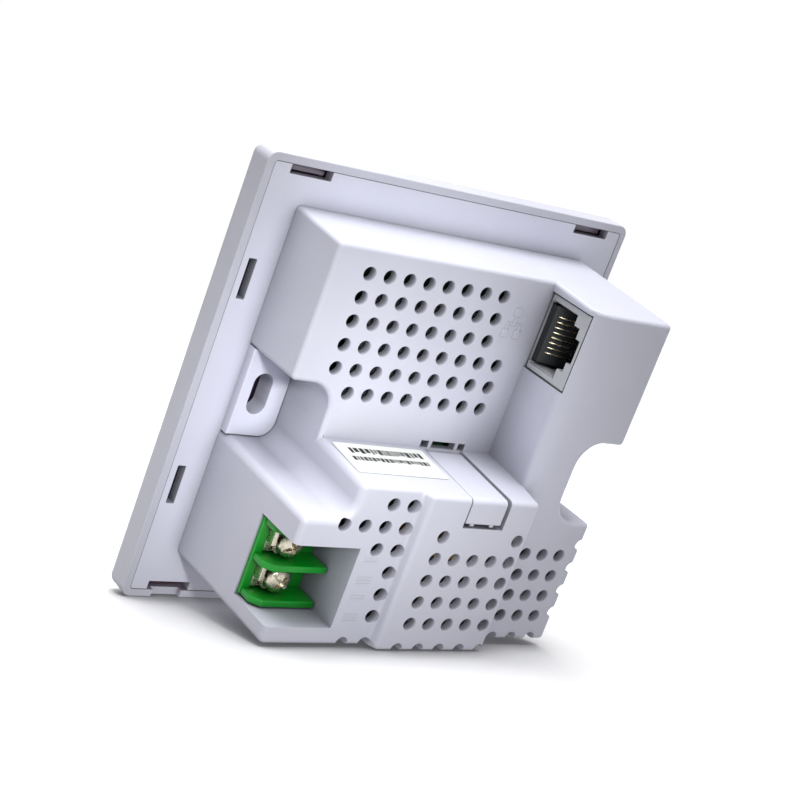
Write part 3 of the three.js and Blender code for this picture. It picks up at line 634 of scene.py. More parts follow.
class Workpiece:
    """A closed solid that is joined, cut and rounded like a part on a bench, in millimetres."""

    def __init__(self, verts: Sequence[Point3], faces: Sequence[Sequence[int]]) -> None:
        """Makes the solid from its faces.

        Args:
            verts: Corner points.
            faces: Corner numbers of each face.
        """
        mesh = bpy.data.meshes.new("workpiece")
        mesh.from_pydata([tuple(v) for v in verts], [], [tuple(f) for f in faces])
        self.item = bpy.data.objects.new("workpiece", mesh)
        bpy.context.scene.collection.objects.link(self.item)
        with self.open() as bench:
            bmesh.ops.recalc_face_normals(bench, faces=bench.faces)

    def open(self) -> "Bench":
        """The mesh opened for editing, and written back afterwards."""
        return Bench(self.item.data)

    @classmethod
    def prism(cls, axis: Axis, outline: Sequence[Point2], low: float, high: float) -> "Workpiece":
        """An outline drawn out along an axis.

        Args:
            axis: The axis; the outline holds the other two coordinates in order.
            outline: The outline's points.
            low: Where it starts.
            high: Where it ends.

        Returns:
            The prism.
        """
        def place(a: float, b: float, c: float) -> Point3:
            """A point of the prism."""
            return {Axis.X: (c, a, b), Axis.Y: (a, c, b), Axis.Z: (a, b, c)}[axis]
        n = len(outline)
        verts = [place(a, b, level) for level in (low, high) for a, b in outline]
        faces = [tuple(range(n))[::-1], tuple(range(n, 2 * n))]
        faces += [(i, (i + 1) % n, n + (i + 1) % n, n + i) for i in range(n)]
        return cls(verts, faces)

    @classmethod
    def block(cls, low: Point3, high: Point3) -> "Workpiece":
        """A box between two corners."""
        outline = [(low[0], low[2]), (high[0], low[2]), (high[0], high[2]), (low[0], high[2])]
        return cls.prism(Axis.Y, outline, low[1], high[1])

    @classmethod
    def pad(cls, x: Point2, z: Point2, y: Point2, radius: float, steps: int) -> "Workpiece":
        """A box whose corners are round when seen along Y."""
        return cls.prism(Axis.Y, rounded_box(*x, *z, radius, steps), *y)

    @classmethod
    def bore(cls, x: float, z: float, radius: float, y: Point2) -> "Workpiece":
        """A round bar along Y, which cuts a bore."""
        return cls.turned([(x, z, [(radius, y[0]), (radius, y[1])])])

    @classmethod
    def turned(cls, profiles: Iterable[tuple[float, float, Sequence[Point2]]],
               steps: int = 28) -> "Workpiece":
        """One or more solids turned about lines along Y.

        Args:
            profiles: For each solid its x, its z and its rings as (radius, y).
            steps: Sides of each ring.

        Returns:
            The solids as one workpiece.
        """
        verts: list[Point3] = []
        faces: list[list[int]] = []
        for x, z, rings in profiles:
            start = len(verts)
            for radius, y in rings:
                for i in range(steps):
                    turn = 2 * math.pi * i / steps
                    verts.append((x + radius * math.cos(turn), y, z + radius * math.sin(turn)))
            for r in range(len(rings) - 1):
                low = start + r * steps
                for i in range(steps):
                    j = (i + 1) % steps
                    faces.append([low + i, low + j, low + steps + j, low + steps + i])
            faces.append([start + i for i in range(steps)])
            faces.append([start + (len(rings) - 1) * steps + i for i in range(steps)][::-1])
        return cls(verts, faces)

    @classmethod
    def wire(cls, route: Sequence[Vector], radii: tuple[float, float], sides: int = 10) -> "Workpiece":
        """A wire that follows a route, with an oval section.

        Args:
            route: Points of its centre line.
            radii: Half its height and half its width.
            sides: Sides of its section.

        Returns:
            The wire.
        """
        verts: list[Point3] = []
        faces: list[list[int]] = []
        across = Vector((0, 0, 1))
        for i, point in enumerate(route):
            along = (route[min(i + 1, len(route) - 1)] - route[max(i - 1, 0)]).normalized()
            up = across.cross(along).normalized()
            taper = 0.55 if i in (0, len(route) - 1) else 1.0
            for k in range(sides):
                turn = 2 * math.pi * k / sides
                spot = point + (up * radii[0] * math.cos(turn) + across * radii[1] * math.sin(turn)) * taper
                verts.append(tuple(spot))
        for i in range(len(route) - 1):
            for k in range(sides):
                j = (k + 1) % sides
                faces.append([i * sides + k, i * sides + j, (i + 1) * sides + j, (i + 1) * sides + k])
        faces.append(list(range(sides))[::-1])
        faces.append([(len(route) - 1) * sides + k for k in range(sides)])
        return cls(verts, faces)

    def _combine(self, other: "Workpiece", operation: str) -> "Workpiece":
        """Runs one boolean step and drops the other workpiece.

        Args:
            other: The other workpiece, which is used up.
            operation: The boolean operation.

        Returns:
            This workpiece.
        """
        step = self.item.modifiers.new("step", "BOOLEAN")
        step.operation, step.solver, step.object = operation, "MANIFOLD", other.item
        self._settle()
        other.discard()
        return self

    def join(self, *others: "Workpiece") -> "Workpiece":
        """Joins other workpieces to this one.

        Args:
            others: The other workpieces, which are used up.

        Returns:
            This workpiece.
        """
        for other in others:
            self._combine(other, "UNION")
        return self

    def cut(self, *others: "Workpiece") -> "Workpiece":
        """Cuts other workpieces away from this one.

        Args:
            others: The other workpieces, which are used up.

        Returns:
            This workpiece.
        """
        for other in others:
            self._combine(other, "DIFFERENCE")
        return self

    def keep(self, other: "Workpiece") -> "Workpiece":
        """Keeps only what lies inside another workpiece."""
        return self._combine(other, "INTERSECT")

    def _settle(self) -> None:
        """Applies the modifiers to the mesh."""
        graph = bpy.context.evaluated_depsgraph_get()
        mesh = bpy.data.meshes.new_from_object(self.item.evaluated_get(graph))
        self.item.modifiers.clear()
        old, self.item.data = self.item.data, mesh
        bpy.data.meshes.remove(old)

    def clean(self, angle: float = 0.5) -> "Workpiece":
        """Merges split faces that lie in one plane.

        Args:
            angle: Largest turn between them in degrees.

        Returns:
            This workpiece.
        """
        with self.open() as bench:
            bmesh.ops.remove_doubles(bench, verts=bench.verts, dist=1e-3)
            bmesh.ops.dissolve_limit(bench, angle_limit=math.radians(angle), verts=bench.verts,
                                     edges=bench.edges)
        return self

    def round_edges(self, rule: EdgeRule, segments: int = 4) -> "Workpiece":
        """Rounds edges by a rule.

        Args:
            rule: Gives an edge's radius from the edge, its turn in degrees and its middle.
            segments: Facets across each rounding.

        Returns:
            This workpiece.
        """
        with self.open() as bench:
            weight = bench.edges.layers.float.new("bevel_weight_edge")
            for edge in bench.edges:
                turn = math.degrees(edge.calc_face_angle_signed(0))
                middle = (edge.verts[0].co + edge.verts[1].co) / 2
                edge[weight] = max(0.0, min(1.0, rule(edge, turn, middle) / 4))
        step = self.item.modifiers.new("round", "BEVEL")
        step.limit_method, step.width, step.segments = "WEIGHT", 4.0, segments
        step.use_clamp_overlap = False
        step.harden_normals = False
        self._settle()
        return self

    def move(self, matrix: Matrix) -> "Workpiece":
        """Moves the solid by a matrix.

        Args:
            matrix: The move, in millimetres.

        Returns:
            This workpiece.
        """
        self.item.data.transform(matrix)
        if matrix.determinant() < 0:
            self.item.data.flip_normals()
        return self

    def discard(self) -> None:
        """Removes the workpiece."""
        mesh = self.item.data
        bpy.data.objects.remove(self.item)
        bpy.data.meshes.remove(mesh)

    def finish(self, name: str, body: Body, slot: Slot, material: bpy.types.Material,
               replaces: Sequence[str] = (), sharp: float = 34.0) -> bpy.types.Object:
        """Turns the workpiece into a finished piece of the object.

        Args:
            name: The piece's name.
            body: The body that it rides on.
            slot: The record's material slot; not used.
            material: Its finish.
            replaces: CAD nodes that it stands for.
            sharp: Edges that turn more than this many degrees stay sharp.

        Returns:
            The piece.
        """
        mesh = self.item.data
        mesh.transform(Matrix.Scale(MM, 4))
        layer = mesh.attributes.get("bevel_weight_edge")
        if layer:
            mesh.attributes.remove(layer)
        mesh.polygons.foreach_set("use_smooth", [True] * len(mesh.polygons))
        mesh.set_sharp_from_angle(angle=math.radians(sharp))
        mesh.materials.clear()
        mesh.materials.append(material)
        step = self.item.modifiers.new("face_normals", "WEIGHTED_NORMAL")
        step.keep_sharp = True
        step.weight = 100
        self.item.name = name
        mesh.name = name
        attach(self.item, body.value)
        if replaces:
            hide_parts(*replaces)
        LOG.info("piece %s: %d faces on %s", name, len(mesh.polygons), body.value)
        return self.item


class Bench:
    """A mesh opened for editing inside a with block."""

    def __init__(self, mesh: bpy.types.Mesh) -> None:
        """Notes the mesh."""
        self.mesh = mesh

    def __enter__(self) -> bmesh.types.BMesh:
        """Opens the mesh.

        Returns:
            The open mesh.
        """
        self.edit = bmesh.new()
        self.edit.from_mesh(self.mesh)
        return self.edit

    def __exit__(self, *_: object) -> None:
        """Writes the mesh back."""
        self.edit.to_mesh(self.mesh)
        self.edit.free()


def carry_over(name: str, material: bpy.types.Material, radius: float = 0.15) -> None:
    """Gives a CAD node its finish and softens its edges, without changing its shape.

    Args:
        name: The CAD node.
        material: Its finish.
        radius: Edge radius in millimetres; 0 leaves the edges alone.
    """
    node = frame["nodes"][name]
    node.data.materials.clear()
    node.data.materials.append(material)
    if radius:
        weld = node.modifiers.new("weld", "WELD")
        weld.merge_threshold = 1e-6
        soft = node.modifiers.new("soft_edges", "BEVEL")
        soft.width, soft.segments, soft.limit_method = radius * MM, 2, "ANGLE"
        soft.angle_limit = math.radians(40)
        even = node.modifiers.new("face_normals", "WEIGHTED_NORMAL")
        even.weight = 100
    LOG.info("carried over %s", name)


# ------------------------------------------------------------------ sub-assemblies


@dataclass(frozen=True)
class VentField:
    """A grid of round vents on one face, drawn row by row with an o for each vent."""

    corner: Point2
    level: float
    rows: tuple[str, ...]

    def places(self, pitch: float) -> list[Point3]:
        """The x, the z and the face's level of each vent."""
        return [(self.corner[0] - pitch * i, self.corner[1] - pitch * j, self.level)
                for j, row in enumerate(self.rows) for i, sign in enumerate(row) if sign == "o"]


@dataclass
class RearHousing:
    """The stepped box that sinks into the wall, with its vents, pockets, windows and marks."""

    half_x: float = 34.3
    bottom: float = -33.8
    top: float = 34.6
    top_lean: float = 0.051
    front: float = 0.1
    wall: float = 1.6
    deck: float = 15.3
    tower: float = 28.5
    left: float = 31.2
    centre: float = 33.1
    tower_wall: float = -15.0
    ledge: float = -1.4
    ledge_lean: float = 0.0787
    centre_x: Point2 = (-15.2, 10.2)
    ridge_run: float = 1.0
    pocket_x: float = 24.6
    pocket_half: float = 8.3
    pocket_corner: float = 5.2
    pocket_foot: float = 3.2
    pocket_lean: float = 0.03
    vent_radius: float = 1.2
    vent_pitch: float = 4.4
    notch_pitch: float = 4.9
    notch_edge: float = 0.3
    notch_depth: float = 3.0
    mark_sunk: float = 0.2
    mark_height: float = 0.2
    tally_x: Point2 = (15.6, 18.6)
    tally_top: float = -16.6
    tally_height: float = 0.07
    jack_z: Point2 = (16.7, 32.0)
    jack_top: float = 27.0
    window_z: Point2 = (-30.4, -14.6)
    window_x: float = 20.4
    window_y: float = 19.9
    bay_x: float = 32.7

    def roof(self, y: float) -> float:
        """Height of the top wall at a depth."""
        return self.top - self.top_lean * y

    def shelf(self, y: float) -> float:
        """Height of the ledge at a depth."""
        return self.ledge - self.ledge_lean * (y - self.deck)

    def layer(self, y: float, x0: float, x1: float, roof: Callable[[float], float],
              inset: float, front: float) -> Workpiece:
        """One slab of the body, from its front to a level.

        Args:
            y: The level of its back.
            x0: Low side.
            x1: High side.
            roof: Height of its top at a depth.
            inset: How far it is drawn in by the wall.
            front: Where it starts.

        Returns:
            The slab.
        """
        low = self.bottom + inset
        outline = [(front, low), (y - inset, low), (y - inset, roof(y) - inset),
                   (front, roof(front) - inset)]
        return Workpiece.prism(Axis.X, outline, x0, x1)

    def stepped(self, inset: float, front: float) -> Workpiece:
        """The stepped outside, or the inside when drawn in by the wall.

        Args:
            inset: How far every face is drawn in.
            front: Where it starts.

        Returns:
            The solid.
        """
        half = self.half_x - inset
        wall = self.tower_wall - inset
        body = self.layer(self.deck, -half, half, self.roof, inset, front)
        tower = self.layer(self.tower, -half, wall, self.roof, inset, front)
        if not inset:
            tower.cut(Workpiece.prism(Axis.Z, [
                (wall + 1, self.tower - 1.5), (wall, self.tower - 1.5), (wall - 2.6, self.tower),
                (wall - 2.6, self.tower + 1), (wall + 1, self.tower + 1)], self.bottom - 1, self.top + 1))
        x0, x1 = self.centre_x[0] + inset, self.centre_x[1] - inset
        left = self.layer(self.left, x0, half, self.shelf, inset, front)
        centre = self.layer(self.centre, -half, half, self.shelf, inset, front)
        centre.keep(Workpiece.prism(Axis.Z, [
            (x0, front - 1), (x0, self.centre - inset), (x1, self.centre - inset),
            (x1 + self.ridge_run, self.left - inset), (x1 + self.ridge_run, front - 1)],
            self.bottom - 1, self.top + 1))
        return body.join(tower, left, centre).clean()

    def pocket(self, side: int, grow: float = 0.0) -> Workpiece:
        """The room beside the body for a box screw.

        Args:
            side: 1 for the terminal side, -1 for the tower side.
            grow: How far it is widened.

        Returns:
            The cutter.
        """
        half, radius, edge = self.pocket_half + grow, self.pocket_corner + grow, self.pocket_x - grow
        foot = self.pocket_foot if side > 0 else self.pocket_corner
        foot += grow
        outline = [(45.0, half), *arc((edge + radius, half - radius), radius, 90, 180, 14),
                   *arc((edge + foot, foot - half), foot, 180, 270, 12), (45.0, -half)]
        cutter = Workpiece.prism(Axis.Y, [(side * x, z) for x, z in outline], -1, 39)
        if side > 0:
            for vert in cutter.item.data.vertices:
                if vert.co.y > 0 and vert.co.z < 0:
                    vert.co.z -= self.pocket_lean * 40
        return cutter

    def round_rule(self, edge: bmesh.types.BMEdge, turn: float, middle: Vector) -> float:
        """Radius of each outside edge and each inside corner of the body.

        Args:
            edge: The edge; not used.
            turn: Its turn in degrees, above 0 on an outside edge.
            middle: Its middle.

        Returns:
            The radius in millimetres.
        """
        if middle.y < self.front + 0.05:
            return 0.0
        if turn > 18:
            if turn < 75 and middle.x < self.tower_wall + 0.1 and middle.y > self.tower - 1.6:
                return 1.2
            if abs(middle.x - self.centre_x[1] - 0.5) < 0.8 and turn < 80:
                return 0.7
            if middle.x > self.pocket_x - 1 and -11 < middle.z < 0 and middle.y > 6:
                return 1.5
            if middle.x > self.half_x - 0.5 and middle.z < 5:
                return 1.2
            if abs(middle.x - self.centre_x[0]) < 0.3 and middle.y > self.tower + 0.5:
                return 1.2
            return 0.85
        if -75 < turn < -30:
            return 0.6
        return 0.0

    def vent(self, x: float, z: float, level: float, radius: Optional[float] = None,
             depth: Optional[float] = None) -> tuple[float, float, list[Point2]]:
        """The cutter rings of one vent, with a broken edge at the face.

        Args:
            x: Its place.
            z: Its place.
            level: Level of the face.
            radius: Radius, or the usual one.
            depth: How deep it goes, or right through the wall.

        Returns:
            The centre and the rings.
        """
        r = radius or self.vent_radius
        end = level - (depth or self.wall + 0.6)
        return x, z, [(r - 0.04, end), (r, level - 0.22), (r + 0.16, level + 0.01), (r + 0.3, level + 1.4)]

    def vents(self) -> Workpiece:
        """All the round vents as one cutter.

        Returns:
            The cutter.
        """
        fields = (
            VentField((26.4, 29.2), self.deck, ("oooooooo.",) * 3 + ("ooooooooo",) * 2 + (".oooooooo",)),
            VentField((4.9, -10.6), self.centre, ("o...o",) + ("ooooo",) * 4),
            VentField((-20.7, -15.4), self.tower, ("ooo",) * 4),
            VentField((25.6, -5.9), self.left, ("..oo", "oooo", "..oo") + ("...o",) * 3),
        )
        places = [place for vents in fields for place in vents.places(self.vent_pitch)]
        return Workpiece.turned([self.vent(*place) for place in places])

    def notches(self) -> Workpiece:
        """The half-round notches along the lower edges and the tower's side.

        Returns:
            The cutter.
        """
        low = self.bottom + self.notch_edge
        rows = ((5.7, low, self.centre, 5), (-20.7, low, self.tower, 3), (16.8, low, self.left, 2))
        spots = [(x - self.notch_pitch * i, z, level) for x, z, level, count in rows for i in range(count)]
        spots += [(-self.half_x + self.notch_edge, -13 - self.notch_pitch * i, self.tower) for i in range(4)]
        return Workpiece.turned([self.vent(*spot, self.vent_radius, self.notch_depth) for spot in spots])

    def latch_room(self) -> list[Workpiece]:
        """The slits round the latch and the three slots at the ledge's foot.

        Returns:
            The cutters.
        """
        foot = self.shelf(self.centre) - 4.9
        room = Workpiece.block((-8.0, 15.4, foot - 0.8), (1.5, 34.5, 0.5))
        room.cut(Workpiece.block((-13, 0, foot - 5), (7, 30.6, foot + 1)))
        slots = [Workpiece.block((x0, 12.6, -1.45), (x1, 16.4, -0.1))
                 for x0, x1 in ((-8.6, -7.0), (-6.2, -0.7), (0.1, 1.9))]
        return [room, *slots]

    def marks(self) -> list[Workpiece]:
        """Low raised marks: a plain network symbol by the jack, and tally strokes by the terminal.

        Returns:
            The raised solids.
        """
        sunk = self.mark_sunk
        y0, y1 = self.deck - sunk, self.deck + self.mark_height
        first, *others = [Workpiece.block((a[0], y0, a[1]), (b[0], y1, b[1])) for a, b in NETWORK_MARK]
        symbol = first.join(*others).clean()
        raised = [symbol.round_edges(outside(0.15, 18, y1 - 0.01), 3)]
        x0, x1 = self.tally_x
        for group in range(4):
            for row in range(2 + group % 2):
                z = self.tally_top - 3.7 * group - 0.62 * row
                raised.append(Workpiece.block((x0, self.left - sunk, z),
                                              (x1, self.left + self.tally_height, z + 0.2)))
        return raised

    def recess(self) -> tuple[Workpiece, list[Workpiece]]:
        """The walls round the terminal, and what is cut away inside them.

        Returns:
            The walls, and the cutters of the room inside them.
        """
        z0, z1 = self.window_z
        walls = Workpiece.block((self.window_x - 1.4, 15.1, self.bottom + 0.5),
                                (self.half_x - 0.5, self.left - 0.9, z1 + 1.4))
        bay = Workpiece.block((self.window_x, 14.1, z0), (self.bay_x, self.left + 1.5, z1))
        window = Workpiece.block((self.window_x, self.window_y, z0), (self.half_x + 2, self.left + 1.5, z1))
        return walls, [bay, window]

    def build(self, book: FinishBook) -> bpy.types.Object:
        """Builds and dresses the housing.

        Args:
            book: The finishes.

        Returns:
            The piece.
        """
        body = self.stepped(0, self.front)
        body.cut(self.pocket(1), self.pocket(-1)).clean()
        body.round_edges(self.round_rule, 5)
        cavity = self.stepped(self.wall, -1)
        cavity.cut(self.pocket(1, self.wall), self.pocket(-1, self.wall))
        body.cut(cavity)
        walls, cuts = self.recess()
        body.join(walls)
        z0, z1 = self.jack_z
        body.cut(*cuts, *self.latch_room(),
                 Workpiece.block((self.tower_wall - 2.6, self.deck - 0.02, z0),
                                 (self.tower_wall + 1, self.jack_top, z1)),
                 self.vents(), self.notches())
        body.join(*self.marks())
        return body.finish("housing_shell", Body.ROOT, Slot.SHELL, book.shell, ["rear_housing"])


@dataclass
class SnapLatch:
    """The latch tongue that lies in the ledge and turns down over the centre face."""

    x: Point2 = (-7.2, 1.15)
    start: float = 16.7
    face: float = 33.1
    drop: float = 4.9
    thickness: float = 1.5
    crown: float = 1.1

    def build(self, housing: RearHousing, book: FinishBook) -> None:
        """Builds and dresses the latch.

        Args:
            housing: The housing it lies in.
            book: The finishes.
        """
        shelf, t = housing.shelf, self.thickness
        foot = shelf(self.face) - self.drop
        top = shelf(self.face)
        outline = [(self.start, shelf(self.start)),
                   *arc((self.face - self.crown, top - self.crown + 0.06), self.crown, 92, 0, 8),
                   (self.face, foot), (self.face - t, foot), (self.face - t, top - t),
                   (self.start, shelf(self.start) - t)]
        arm = Workpiece.prism(Axis.X, outline, *self.x)
        arm.round_edges(lambda _, turn, __: 0.28 if abs(turn) > 60 else 0.0, 3)
        for x in (-5.3, -0.7):
            arm.join(Workpiece.block((x - 0.45, self.face - t + 0.2, foot - 0.45),
                                     (x + 0.45, self.face - 0.3, foot + 0.4)))
        arm.finish("latch_tongue", Body.LATCH, Slot.SHELL, book.shell, ["latch_clip"])


@dataclass
class RatingLabel:
    """The paper label on the ledge, with rows of plain dashes where print would be."""

    x: Point2 = (2.7, 23.1)
    y: Point2 = (17.0, 26.8)
    thickness: float = 0.12
    lift: float = 0.06
    rows: tuple[tuple[float, float, float], ...] = ((18.6, 1.75, 1.0), (21.5, 1.3, 0.8))
    seed: int = 7

    def sheet(self, housing: RearHousing, outline: list[Point2], low: float, high: float) -> Workpiece:
        """A thin sheet lying on the ledge.

        Args:
            housing: The housing it lies on.
            outline: Its outline in x and y.
            low: Height of its underside over the ledge.
            high: Height of its top over the ledge.

        Returns:
            The sheet.
        """
        sheet = Workpiece.prism(Axis.Z, outline, low, high)
        for vert in sheet.item.data.vertices:
            vert.co.z += housing.shelf(vert.co.y)
        return sheet

    def build(self, housing: RearHousing, book: FinishBook) -> None:
        """Builds the label and its dashes.

        Args:
            housing: The housing it lies on.
            book: The finishes.
        """
        outline = rounded_box(*self.x, *self.y, 0.5, 6)
        top = self.lift + self.thickness
        paper = self.sheet(housing, outline, self.lift, top)
        paper.round_edges(lambda _, turn, __: 0.04 if abs(turn) > 60 else 0.0, 2)
        paper.finish("label_sheet", Body.ROOT, Slot.LABEL, book.label, ["rating_label"])
        dice = random.Random(self.seed)
        dashes: list[Workpiece] = []
        for y, tall, step in self.rows:
            x = self.x[0] + 1.6
            while x < self.x[1] - 2.4:
                wide = dice.choice((0.42, 0.7, 0.95)) * step
                high = tall * dice.choice((1.0, 1.0, 0.8))
                mark = [(x, y), (x + wide, y), (x + wide, y + high), (x, y + high)]
                dashes.append(self.sheet(housing, mark, top - 0.03, top + 0.015))
                x += wide + 0.32 * step
        first, *rest = dashes
        for dash in rest:
            append(first, dash)
        first.finish("label_dashes", Body.ROOT, Slot.LABEL, book.ink)


def append(target: Workpiece, extra: Workpiece) -> None:
    """Adds a separate solid to a workpiece without a boolean step.

    Args:
        target: The workpiece that grows.
        extra: The solid that is added and used up.
    """
    with target.open() as bench:
        bench.from_mesh(extra.item.data)
    extra.discard()


@dataclass
class ScrewTerminal:
    """The green two-way terminal with its plates, clamps and screws."""

    x: Point2 = (20.7, 32.4)
    reach: float = 33.6
    base: Point2 = (15.1, 19.6)
    sill: float = 20.2
    crest: float = 25.2
    top: float = -14.9
    pitch: float = 6.95
    barrier: float = 1.3
    screw_x: float = 28.25
    bore: float = 1.8
    head: tuple[float, float, float] = (2.5, 22.1, 23.9)

    def ways(self) -> list[float]:
        """Height of each way's middle."""
        return [self.top - self.barrier / 2 - (way + 0.5) * self.pitch for way in (0, 1)]

    def block(self, book: FinishBook) -> None:
        """Builds the green block with a chamfered barrier beside each way.

        Args:
            book: The finishes.
        """
        span = 2 * self.pitch + self.barrier
        x0, x1 = self.x
        block = Workpiece.block((x0, self.base[0], self.top - span), (x1, self.base[1], self.top))
        profile = [(x0, self.base[1] - 0.2), (x1, self.base[1] - 0.2), (x1, self.sill),
                   (self.reach, self.sill), (self.reach, self.crest - 1.7),
                   (self.reach - 1.7, self.crest), (x0, self.crest)]
        for index in range(3):
            z = self.top - index * self.pitch
            block.join(Workpiece.prism(Axis.Z, profile, z - self.barrier, z))
        block.join(Workpiece.block((x1 - 0.4, self.sill - 0.24, self.top - span),
                                   (x1 + 1.5, self.sill + 0.5, self.top)))
        block.clean()
        block.round_edges(outside(0.22, 30, 20), 3)
        block.cut(*[Workpiece.bore(self.screw_x, z, self.bore, (15.9, 21)) for z in self.ways()])
        block.finish("terminal_body", Body.ROOT, Slot.GREEN, book.green, ["terminal_block"])

    def plate(self, way: int, z: float, book: FinishBook) -> None:
        """Builds a contact plate with its end turned up.

        Args:
            way: 1 or 2.
            z: Height of the way's middle.
            book: The finishes.
        """
        half, y0 = 2.45, self.base[1] + 0.3
        strip = Workpiece.block((self.screw_x - 2.3, y0, z - half), (self.x[1] - 0.3, y0 + 0.8, z + half))
        lip = Workpiece.block((self.x[1] - 1.1, y0, z - 0.5), (self.x[1] - 0.3, y0 + 2.7, z + 2.3))
        strip.join(lip).clean()
        strip.round_edges(outside(0.12), 3)
        strip.cut(Workpiece.bore(self.screw_x, z, self.bore, (y0 - 1, y0 + 2)))
        strip.finish(f"plate_{way}", Body.ROOT, Slot.NICKEL, book.nickel, [f"terminal_plate_{way}"])

    def clamp(self, way: int, z: float, body: Body, book: FinishBook) -> None:
        """Builds a square clamping washer with turned corners.

        Args:
            way: 1 or 2.
            z: Height of the way's middle.
            body: The body it rides on.
            book: The finishes.
        """
        y0, half, x = self.base[1] + 1.4, 2.3, self.screw_x
        washer = Workpiece.pad((x - half, x + half), (z - half, z + half), (y0, y0 + 0.8), 0.4, 4)
        groove = Workpiece.prism(Axis.Z, [(x - 3, y0 + 0.36), (x - 3, y0 + 0.5), (x + 3, y0 + 0.5),
                                          (x + 3, y0 + 0.36)], z - 3, z + 3)
        core = Workpiece.block((x - half + 0.35, y0 - 1, z - half + 0.35),
                               (x + half - 0.35, y0 + 2, z + half - 0.35))
        washer.cut(groove.cut(core))
        washer.round_edges(outside(0.06), 2)
        washer.cut(Workpiece.bore(x, z, self.bore, (y0 - 1, y0 + 2)))
        washer.finish(f"clamp_{way}", body, Slot.NICKEL, book.nickel, [f"terminal_clamp_{way}"])

    def screw(self, way: int, z: float, body: Body, spin: float, book: FinishBook) -> None:
        """Builds a pan-head screw with a cross recess, a slot and a cut thread.

        Args:
            way: 1 or 2.
            z: Height of the way's middle.
            body: The body it rides on.
            spin: Turn of its recess at rest, in degrees.
            book: The finishes.
        """
        radius, seat, crown = self.head
        rings = [(0.9, seat - 5.7), (1.3, seat - 5.3)]
        for turn in range(8):
            y = seat - 5.0 + turn * 0.5
            rings += [(1.25, y), (1.5, y + 0.25)]
        rings += [(1.4, seat - 0.4), (1.4, seat), (radius - 0.1, seat), (radius, seat + 0.12),
                  (radius, seat + 0.62), (radius * 0.93, seat + 1.05), (radius * 0.76, seat + 1.4),
                  (radius * 0.5, seat + 1.62), (radius * 0.22, crown)]
        screw = Workpiece.turned([(self.screw_x, z, rings)], 40)
        turn = (Matrix.Translation((self.screw_x, 0, z)) @ Matrix.Rotation(math.radians(spin), 4, "Y"))
        slots = [Workpiece.block((-2.6, seat + 1.15, -0.3), (2.6, crown + 1, 0.3)),
                 Workpiece.prism(Axis.Y, [(-0.34, -1.35), (0.34, -1.35), (0.34, 1.35), (-0.34, 1.35)],
                                 seat + 0.7, crown + 1),
                 Workpiece.prism(Axis.Y, [(-1.35, -0.34), (1.35, -0.34), (1.35, 0.34), (-1.35, 0.34)],
                                 seat + 0.7, crown + 1)]
        screw.cut(*[slot.move(turn) for slot in slots])
        screw.finish(f"screw_{way}", body, Slot.NICKEL, book.nickel, [f"terminal_screw_{way}"], 30)

    def build(self, book: FinishBook) -> None:
        """Builds and dresses the terminal.

        Args:
            book: The finishes.
        """
        self.block(book)
        bodies = ((Body.CLAMP_1, Body.SCREW_1, 24), (Body.CLAMP_2, Body.SCREW_2, -38))
        for way, (z, (clamp, screw, spin)) in enumerate(zip(self.ways(), bodies), 1):
            self.plate(way, z, book)
            self.clamp(way, z, clamp, book)
            self.screw(way, z, screw, spin, book)


